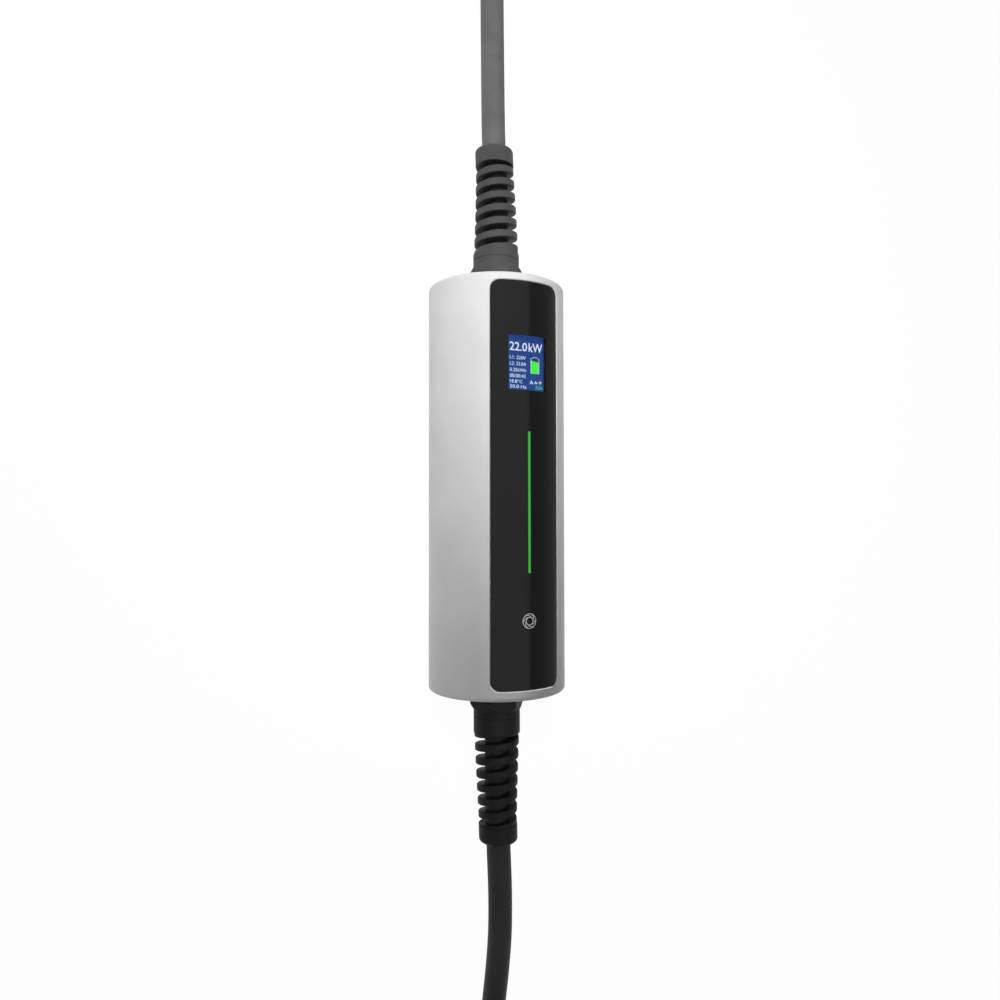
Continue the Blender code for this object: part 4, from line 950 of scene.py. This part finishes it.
def thickened(bm):
    """Gives flat faces the thickness of print, upwards."""
    bmesh.ops.recalc_face_normals(bm, faces=bm.faces)
    made = bmesh.ops.extrude_face_region(bm, geom=list(bm.faces))
    tops = [v for v in made["geom"] if isinstance(v, bmesh.types.BMVert)]
    bmesh.ops.translate(bm, verts=tops, vec=(0.0, 0.0, PRINT_THICK))
    return bm


def text_mesh(words, height, width, left, base, bold=0.0):
    """Flat words of a given cap height and width, as a closed thin mesh lying in XY."""
    curve = bpy.data.curves.new("words", "FONT")
    curve.body = words
    curve.offset = bold
    curve.resolution_u = 3
    obj = linked("words", curve)
    bm = evaluated(obj)
    bpy.data.objects.remove(obj, do_unlink=True)
    bmesh.ops.remove_doubles(bm, verts=bm.verts, dist=1e-5)
    (low_x, high_x), (low_y, high_y) = [(min(c), max(c)) for c in zip(*[v.co.xy for v in bm.verts])]
    for vert in bm.verts:
        x = left + (vert.co.x - low_x) / (high_x - low_x) * width
        y = base + (vert.co.y - low_y) / (high_y - low_y) * height
        vert.co = (x, y, 0.0)
    return thickened(bm)


def flat_shape(points):
    bm = bmesh.new()
    bm.faces.new([bm.verts.new((x, y, 0.0)) for x, y in points])
    return thickened(bm)


def flat_line(points, width, closed=False):
    """A drawn line of even width through flat points."""
    count = len(points)
    bm = bmesh.new()
    rows = []
    for i, (x, y) in enumerate(points):
        before = points[i - 1] if closed or i else points[i]
        after = points[(i + 1) % count] if closed or i < count - 1 else points[i]
        along = Vector((after[0] - before[0], after[1] - before[1])).normalized()
        off = Vector((-along.y, along.x)) * width / 2
        pair = (x + off.x, y + off.y, 0.0), (x - off.x, y - off.y, 0.0)
        rows.append([bm.verts.new(point) for point in pair])
    for a, b in list(zip(rows, rows[1:])) + ([(rows[-1], rows[0])] if closed else []):
        bm.faces.new((a[0], b[0], b[1], a[1]))
    return thickened(bm)


def make_screen(flat):
    """The lit picture under the glass, laid out in shares of the display's width and height."""
    face = flat - 0.00022
    wide, tall = 2 * SCREEN_WIDE, SCREEN_TOP - SCREEN_BOTTOM
    # The frame hides this much of the picture's left edge from in front
    hidden = 0.0011

    def at(across, down):
        return -SCREEN_WIDE + hidden + across * (wide - hidden), SCREEN_BOTTOM + (1 - down) * tall

    def words(text, across, down, width, height, bold=0.0):
        return text_mesh(text, height * tall, width * wide, *at(across, down), bold)

    def show(name, parts, look, lift=0.00001):
        add_piece(name, moved(joined(parts), (0.0, 0.0, face + lift)), look)

    inset = 0.00005
    right, top = SCREEN_WIDE - inset, SCREEN_TOP - inset
    sheet = block((-right, SCREEN_BOTTOM + inset, face - 0.00006), (right, top, face))
    add_piece("screen_field", sheet, SCREEN)
    big = [words("22.0", 0.045, 0.264, 0.465, 0.16, 0.01), words("kW", 0.572, 0.264, 0.372, 0.16, 0.01)]
    show("screen_reading", big, WHITE_LIT)
    small = [
        words(text, 0.055, down, width, 0.062)
        for text, down, width in (
            ("L1: 220V", 0.418, 0.42), ("L2: 32.0A", 0.533, 0.43), ("0.25kWh", 0.648, 0.43),
            ("00:00:42", 0.757, 0.42), ("18.8°C", 0.857, 0.33), ("50.0 Hz", 0.954, 0.44),
        )
    ]
    small += [words("A", 0.6, 0.862, 0.096, 0.068, 0.012)]
    x, y = at(0.76, 0.862)
    pulse = [(x - 0.001, y + 0.001), (x - 0.0002, y + 0.001), (x + 0.0002, y + 0.0021)]
    pulse += [(x + 0.0006, y + 0.0002), (x + 0.001, y + 0.001), (x + 0.0017, y + 0.001)]
    small += [flat_line(pulse, 0.00044)]
    small += [flat_line(arc(at(0.895, 0.862), 0.0007 + 0.0006 * n, 50, 130, 8), 0.00034) for n in range(3)]
    show("screen_rows", small, PALE_LIT)
    show("screen_limit", [words("32A", 0.76, 0.952, 0.205, 0.064, 0.012)], DIM_GREEN_LIT)
    x0, y0 = at(0.632, 0.662)
    x1, y1 = at(0.862, 0.38)
    middle, cap, half_cap = (x0 + x1) / 2, 0.0007, 0.0016
    case = [(x0, y0), (x1, y0), (x1, y1), (middle + half_cap, y1), (middle + half_cap, y1 + cap)]
    case += [(middle - half_cap, y1 + cap), (middle - half_cap, y1), (x0, y1)]
    show("screen_battery_case", [flat_line(case, 0.00026, closed=True)], WHITE_LIT, 0.00004)
    edge = 0.00016
    left, right, low, high = x0 + edge, x1 - edge, y0 + edge, y1 - edge
    well = flat_shape([(left, low), (right, low), (right, high), (left, high)])
    show("screen_battery_well", [well], DARK_LIT)
    level = flat_shape([(left, low), (right, low), (right, y1 - 0.0026), (left, y1 - 0.0014)])
    show("screen_battery_level", [level], GREEN_LIT, 0.00005)


def make_light():
    """The light guide: a rounded bar in the panel's slot."""
    rings = []
    steps = 6
    middle, reach = (LIGHT_TOP + LIGHT_BOTTOM) / 2, (LIGHT_TOP - LIGHT_BOTTOM) / 2
    for side in (-1, 1):
        for i in range(steps + 1):
            a = pi / 2 * (i if side < 0 else steps - i) / steps
            y = middle + side * (reach - LIGHT_WIDE * (1 - sin(a)) * 0.9)
            half = max(LIGHT_WIDE * cos(pi / 2 - a), 0.00012)
            low, high = RADIUS - 0.0056, RADIUS - 0.00004 - 0.00008 * (1 - sin(a))
            rings.append([(-half, y, high), (half, y, high), (half, y, low), (-half, y, low)])
    add_piece("light_guide", loft(rings), LIGHT_LENS, ["light_bar"])


def make_touch_mark():
    """A plain ring of six curved vanes, printed over the touch key."""
    parts = []
    for radius in (0.0046, 0.0024):
        ring = [(radius * cos(a), radius * sin(a)) for a in turns(72)]
        parts.append(flat_line(ring, 0.00048, closed=True))
    for start in turns(6):
        vane = []
        for i in range(9):
            a = start + radians(74) * i / 8
            radius = 0.0025 + 0.002 * i / 8
            vane.append((radius * cos(a), radius * sin(a)))
        parts.append(flat_line(vane, 0.00046))
    mark = joined(parts)
    for vert in mark.verts:
        s, y, lift = vert.co
        vert.co = wrapped(s, TOUCH_Y + y, RADIUS - 0.00006 + lift * 1.6)
    add_piece("touch_mark", mark, INK)


# Box ends


def make_end(name):
    """The end plate with its four sunk screws."""
    place = END_PLACES[name]
    low, high, inner = -0.007, -0.001, 0.0128
    plate = turned_ring(softened([(inner, low), (BORE, low), (BORE, high), (inner, high)], 0.0004), 128)
    reach = 0.0385
    spots = [(reach * sin(a), reach * cos(a)) for a in [radians(45 + 90 * i) for i in range(4)]]
    wells = [loft([circle(0.0033, y, 40, spot) for y in (-0.0041, 0.001)]) for spot in spots]
    holes = [loft([circle(0.00205, y, 24, spot) for y in (-0.008, -0.003)]) for spot in spots]
    plate = combined(plate, [("DIFFERENCE", joined(wells)), ("DIFFERENCE", joined(holes))])
    add_piece(f"end_cap_{name}", plate, TURNED, [f"end_plate_{name}"], place, 30.0)
    under, top = -0.0038, -0.0013
    profile = [(0.00175, under - 0.018), (0.00175, under), (0.0028, under), (0.003, under + 0.0002)]
    profile += [(0.003, top - 0.0004), (0.0029, top - 0.0001), (0.0026, top)]
    for i, (x, z) in enumerate(spots):
        socket = loft([circle(corner_of(0.0027), y, 6) for y in (top - 0.0013, top + 0.001)])
        head = moved(combined(turned(profile, 24), [("DIFFERENCE", socket)]), (x, 0.0, z))
        screw = f"end_screw_{name}_{i + 1}"
        add_piece(f"cap_{screw}", head, STEEL, [screw], place)


def leaned(bm, lean, sleeve_end):
    """Bends the spiral's middle line off the axis, more and more towards its end."""
    for vert in bm.verts:
        share = max(0.0, (vert.co.y - sleeve_end) / (COIL_LENGTH + COLLAR_LENGTH)) ** 2
        vert.co.x += lean[0] * share
        vert.co.z += lean[1] * share
    return bm


def coil(sleeve_end, first_angle, per_turn=56):
    """The open spiral rib, its outer corners rounded, tapering outwards."""
    pitch, rib, inner = 0.0091, 0.0049, CABLE / 2 + FIT
    start = sleeve_end - 0.6 * rib
    end = sleeve_end + COIL_LENGTH + 0.7 * rib
    count = (end - start) / pitch
    steps = round(count * per_turn)
    half, soft = rib / 2, 0.0009
    rings = []
    for i in range(steps + 1):
        along = start + (end - start) * i / steps
        a = radians(first_angle) + tau * count * i / steps
        taper = min(1.0, max(0.0, (along - sleeve_end) / COIL_LENGTH))
        outer = COIL_WIDE + (COIL_NARROW - COIL_WIDE) * taper
        section = [(inner, -half), (inner, half)]
        section += arc((outer - soft, half - soft), soft, 90, 0, 4)
        section += arc((outer - soft, -half + soft), soft, 0, -90, 4)
        rings.append([polar(r, along + v, a) for r, v in section])
    return loft(rings)


def make_spiral(name, look, nut_turn, cone, sleeve_end, first_angle, lean):
    """Hexagon nut, its cone, sleeve, open spiral and end collar, moulded in one piece."""
    start, sleeve_radius = 0.0063, 0.0158
    cone_end = cone + 0.0039
    corner = corner_of(HEX_ACROSS)
    stations = [(start, corner - 0.0012), (start + 0.0006, corner - 0.0005), (start + 0.0012, corner)]
    for share in (0.0, 0.15, 0.3, 0.45, 0.6, 0.8, 1.0):
        stations.append((cone + (cone_end - cone) * share, corner + (sleeve_radius - corner) * share))
    nut = about_y(loft([hexagon(HEX_ACROSS, y, limit) for y, limit in stations]), nut_turn)
    seam, flush, groove = cone_end + 0.0042, sleeve_radius - 0.0001, sleeve_radius - 0.0004
    profile = [(sleeve_radius - 0.00015, 0.0112), (flush, seam), (groove, seam + 0.0001)]
    profile += [(groove, seam + 0.0004), (flush, seam + 0.0005)]
    profile += arc((sleeve_radius - 0.0013, sleeve_end - 0.0012), 0.0012, 0, 90, 6)
    bore = turned([(CABLE_BORE, start - 0.004), (CABLE_BORE, sleeve_end + 0.005)], 64)
    cavity = turned([(0.0143, start - 0.004), (0.0143, 0.0169)], 64)
    coil_end = sleeve_end + COIL_LENGTH
    end = coil_end + COLLAR_LENGTH
    collar, soft = COIL_NARROW + FIT, 0.0025
    outer = [(collar, coil_end), (collar, end - soft), *arc((collar - soft, end - soft), soft, 0, 90, 8)[1:]]
    outer += [(CABLE_BORE + 0.0002, end), (CABLE_BORE, end - 0.0002), (CABLE_BORE, coil_end)]
    steps = [("UNION", turned(profile, 96)), ("DIFFERENCE", bore), ("DIFFERENCE", cavity)]
    for shape in (coil(sleeve_end, first_angle), turned_ring(outer, 96)):
        steps.append(("UNION", leaned(shape, lean, sleeve_end)))
    body = combined(nut, steps)
    nodes = [f"gland_spiral_{name}"]
    add_piece(f"spiral_{name}", body, look, nodes, END_PLACES[name], 28.0)


def make_gland(name, look, nut_turn):
    """The gland's hexagon flange against the end plate, with its neck inside the nut."""
    corner = corner_of(HEX_ACROSS)
    stations = ((-0.0007, corner - 0.0008), (0.0, corner), (0.0052, corner), (0.006, corner - 0.0008))
    flange = about_y(loft([hexagon(HEX_ACROSS, y, limit) for y, limit in stations]), nut_turn)
    neck = turned([(0.0125, -0.016), (0.0125, -0.0003), (0.014, -0.0003), (0.014, 0.016)], 72)
    bore = turned([(CABLE_BORE, -0.02), (CABLE_BORE, 0.02)], 64)
    seat = turned([(0.0112, 0.0033), (0.0112, 0.02)], 64)
    body = combined(flange, [("UNION", neck), ("DIFFERENCE", bore), ("DIFFERENCE", seat)])
    nodes = [f"gland_body_{name}"]
    add_piece(f"gland_{name}", body, look, nodes, END_PLACES[name], 28.0)


# Supply plug


def make_plug():
    """A five-pin industrial plug: gripped back nut, ribbed shell, shroud with its key, and the pins."""
    lobes = 10
    rings = []
    for y, radius, depth in (
        (0.0, 0.0146, 0.0), (0.0006, 0.015, 0.0), (0.004, 0.017, 0.0004), (0.006, 0.0177, 0.0007),
        (0.008, 0.018, 0.0008), (0.023, 0.018, 0.0008), (0.0248, 0.0187, 0.0003), (0.0254, 0.019, 0.0),
        (0.026, 0.0188, 0.0),
    ):
        rings.append([polar(radius - depth * (1 - cos(lobes * a)), y, a) for a in turns(160)])
    nut = combined(loft(rings), [("DIFFERENCE", turned([(CABLE_BORE, -0.004), (CABLE_BORE, 0.03)], 64))])
    start = 0.0263
    span = 0.084 - start
    profile = [(0.0209, start), (0.0215, start + 0.0006)]
    for i in range(1, 13):
        t = i / 12
        profile.append((0.0215 + 0.0115 * (t * t * (3 - 2 * t)), start + 0.001 + span * 0.78 * t))
    profile += [(0.033, 0.0832), (0.0334, 0.084), (0.04, 0.084), (0.0405, 0.0845), (0.0407, 0.085)]
    profile += [(0.0407, 0.0868), (0.0402, 0.0872), (0.0402, 0.0884), (0.0407, 0.0888), (0.0407, 0.095)]
    profile += [(0.0404, 0.0957), (0.0397, 0.096)]
    ridges = []
    for i in range(8):
        ridge = block((-0.0035, start + span * 0.72, 0.029), (0.0035, 0.081, 0.0345))
        ridges.append(about_y(softly_edged(ridge, 0.0007, 3), tau * (i + 0.5) / 8))
    shell = combined(turned(profile, 144), [("UNION", joined(ridges))])
    front, end = 0.0963, 0.155
    wall = softened([(0.0305, front), (0.034, front), (0.034, end), (0.0305, end)], 0.0006)
    key = softly_edged(block((-0.0045, front + FIT, -0.0375), (0.0045, front + 0.045, -0.0322)), 0.0005, 3)
    shroud = combined(turned_ring(wall, 144), [("UNION", key)])
    disc = [(0.0298, front), (0.0302, front + 0.0004), (0.0302, front + 0.0096), (0.0298, front + 0.01)]
    collars, pins, holes = [], [], []
    pin_circle = 0.0185
    tip, low, high = front + 0.048, front + 0.006, front + 0.0125
    for i in range(5):
        a = pi + tau * i / 5
        spot = (pin_circle * sin(a), pin_circle * cos(a))
        radius = 0.003 if i else 0.004
        inner = radius + 0.00015
        collar = [(inner, low), (radius + 0.0016, low), (radius + 0.0012, high), (inner, high)]
        pin = [(radius, front + 0.0101), (radius, tip - 0.003), (radius * 0.93, tip - 0.0012)]
        pin += [(radius * 0.75, tip - 0.0003), (radius * 0.5, tip)]
        collars.append(moved(turned_ring(softened(collar, 0.0003), 40), (spot[0], 0.0, spot[1])))
        pins.append(moved(turned(pin, 40), (spot[0], 0.0, spot[1])))
        holes.append(loft([circle(inner, y, 40, spot) for y in (front + 0.0055, front + 0.02)]))
    carrier = combined(turned(disc, 96), [("UNION", joined(collars)), ("DIFFERENCE", joined(holes))])
    place = Matrix.Translation((0.0, 0.4704, 0.041))
    return [
        add_piece("plug_back_nut", nut, BLACK_PLASTIC, ["plug_nut"], place),
        add_piece("plug_shell", shell, RED_PLASTIC, ["plug_body"], place, 30.0),
        add_piece("plug_sleeve", shroud, RED_PLASTIC, ["plug_shroud"], place, 30.0),
        add_piece("plug_carrier", carrier, RED_PLASTIC, ["plug_insert"], place, 30.0),
        add_piece("plug_pins", joined(pins), PLATED, (), place, 30.0),
    ]


# Vehicle connector


def grip_stations():
    """Eased rows of the grip, as (distance along, half width, half height, lift)."""
    stations = (
        (0.0303, 0.016, 0.017, 0.0), (0.045, 0.0175, 0.0195, 0.001), (0.075, 0.019, 0.022, 0.0022),
        (0.105, 0.0195, 0.0222, 0.0018), (0.128, 0.0215, 0.0248, 0.0006), (0.148, 0.0268, 0.0295, 0.0),
        (0.162, 0.0303, 0.0315, 0.0), (0.174, 0.0308, 0.0316, 0.0), (0.176, 0.0296, 0.0304, 0.0),
    )
    dense = []
    for a, b in zip(stations[:-2], stations[1:-1]):
        dense += [tuple(p + (q - p) * (i / 8) for p, q in zip(a, b)) for i in range(8)]
    dense += stations[-2:]
    even = []
    for n, row in enumerate(dense):
        near = dense[max(0, n - 4) : n + 5] if 4 < n < len(dense) - 8 else [row]
        even.append((row[0], *[sum(r[c] for r in near) / len(near) for c in (1, 2, 3)]))
    return even


def grip_half(side, points=40):
    rings = []
    for y, wide, high, lift in grip_stations():
        ring = []
        for i in range(points + 1):
            a = pi * i / points
            x = wide * sin(a) ** 0.8 if 0 < i < points else 0.0
            z = high * copysign(abs(cos(a)) ** 0.8, cos(a))
            ring.append((side * (x + FIT / 2), y, z + lift))
        rings.append(ring)
    return softly_edged(loft(rings), 0.0005, 3, 50.0)


def make_connector():
    """A seven-contact vehicle connector: ribbed boot, grip in two halves and a flat-topped nose."""
    loop = [(CABLE_BORE, 0.0), (0.012, 0.0), (0.0135, 0.003)]
    for i in (1, 2):
        y, radius = 0.03 * i / 3, 0.0135 + 0.0015 * i / 3
        loop += [(radius, y - 0.0014), (radius - 0.001, y - 0.0006), (radius - 0.001, y + 0.0012)]
        loop += [(radius + 0.0004, y + 0.002)]
    loop += [(0.015, 0.03), (CABLE_BORE, 0.03)]
    boot = turned_ring(softened(loop, 0.0004), 96)
    rings = []
    for y, inset in ((0.1763, 0.0), (0.2138, 0.0), (0.2144, 0.0002), (0.2148, 0.0006), (0.215, 0.0012)):
        radius, flat = 0.028 - inset, 0.0215 - inset
        first = acos(flat / radius)
        rings.append([polar(radius, y, first + (tau - 2 * first) * i / 119) for i in range(120)])
    sockets, grooves, contacts = [], [], []
    for x, z, radius in (
        (0.0, 0.0, 0.0046), (-0.016, 0.0, 0.0046), (0.016, 0.0, 0.0046), (-0.0083, -0.014, 0.0046),
        (0.0083, -0.014, 0.0046), (-0.0078, 0.0126, 0.0032), (0.0078, 0.0126, 0.0032),
    ):
        sockets.append(loft([circle(radius, y, 48, (x, z)) for y in (0.185, 0.22)]))
        near, far = radius + 0.0007, radius + 0.0012
        groove = turned_ring([(near, 0.2135), (far, 0.2135), (far, 0.217), (near, 0.217)], 48)
        grooves.append(moved(groove, (x, 0.0, z)))
        near, far = radius - 0.0012, radius - 0.0003
        bush = softened([(near, 0.187), (far, 0.187), (far, 0.206), (near, 0.206)], 0.0002)
        contacts.append(moved(turned_ring(bush, 40), (x, 0.0, z)))
    nose = combined(loft(rings), [("DIFFERENCE", joined(sockets)), ("DIFFERENCE", joined(grooves))])
    place = Matrix.Translation((-0.015, -0.6777, 0.032))
    pieces = [add_piece("connector_sleeve", boot, RUBBER, ["connector_boot"], place, 40.0)]
    for side, label in ((-1, "left"), (1, "right")):
        name, nodes = f"connector_shell_{label}", [f"connector_grip_{label}"]
        pieces.append(add_piece(name, grip_half(side), GRIP_PLASTIC, nodes, place, 35.0))
    return [
        *pieces,
        add_piece("connector_face", nose, NOSE_PLASTIC, ["connector_nose"], place, 30.0),
        add_piece("connector_contacts", joined(contacts), PLATED, (), place),
    ]


# Hank ties


def make_ties():
    """A woven strap round each run of the hank, with rounded corners."""
    half, inside, outside = 0.0125, 0.0495, 0.0825
    low_y, high_y = (HANK_NEAR + HANK_FAR) / 2 - half, (HANK_NEAR + HANK_FAR) / 2 + half
    for number, side in ((1, 1), (2, -1)):
        loops = []
        for wall, corner in ((FIT, 0.006), (FIT + 0.0017, 0.0077)):
            x0, x1 = inside - wall + corner, outside + wall - corner
            z0, z1 = HANK_BASE - wall + corner, HANK_BASE + 3 * CABLE + wall - corner
            corners = ((x1, z1, 0), (x0, z1, 90), (x0, z0, 180), (x1, z0, 270))
            ring = [point for x, z, first in corners for point in arc((x, z), corner, first, first + 90, 8)]
            loops.append([(side * x, z) for x, z in ring])
        rings = []
        for (x_in, z_in), (x_out, z_out) in zip(*loops):
            near, far = [[(x_in, y, z_in), (x_out, y, z_out)] for y in (low_y, high_y)]
            rings.append(near + far[::-1])
        strap = softly_edged(loft(rings, closed=True), 0.0004, 2, 60.0)
        add_piece(f"woven_tie_{number}", strap, WEBBING, [f"hank_tie_{number}"], Matrix(), 45.0)


def main():
    for obj in list(bpy.data.objects):
        if obj.name in ("Cube", "Light", "Camera"):
            bpy.data.objects.remove(obj, do_unlink=True)
    dress_frame()
    make_camera()
    make_floor()
    make_world()
    make_lights()
    make_housing()
    make_panel()
    make_screen(make_window())
    make_light()
    make_touch_mark()
    for name, look, nut_turn, *spiral in (
        ("supply", GREY_PLASTIC, 0.0, 0.0114, 0.025, 184.0, (0.0, -0.003)),
        ("vehicle", BLACK_PLASTIC, radians(-16), 0.0096, 0.0298, 1.0, (-0.0022, -0.0022)),
    ):
        make_end(name)
        make_gland(name, look, nut_turn)
        make_spiral(name, look, nut_turn, *spiral)
    make_ties()
    make_cords(make_plug(), make_connector())


main()
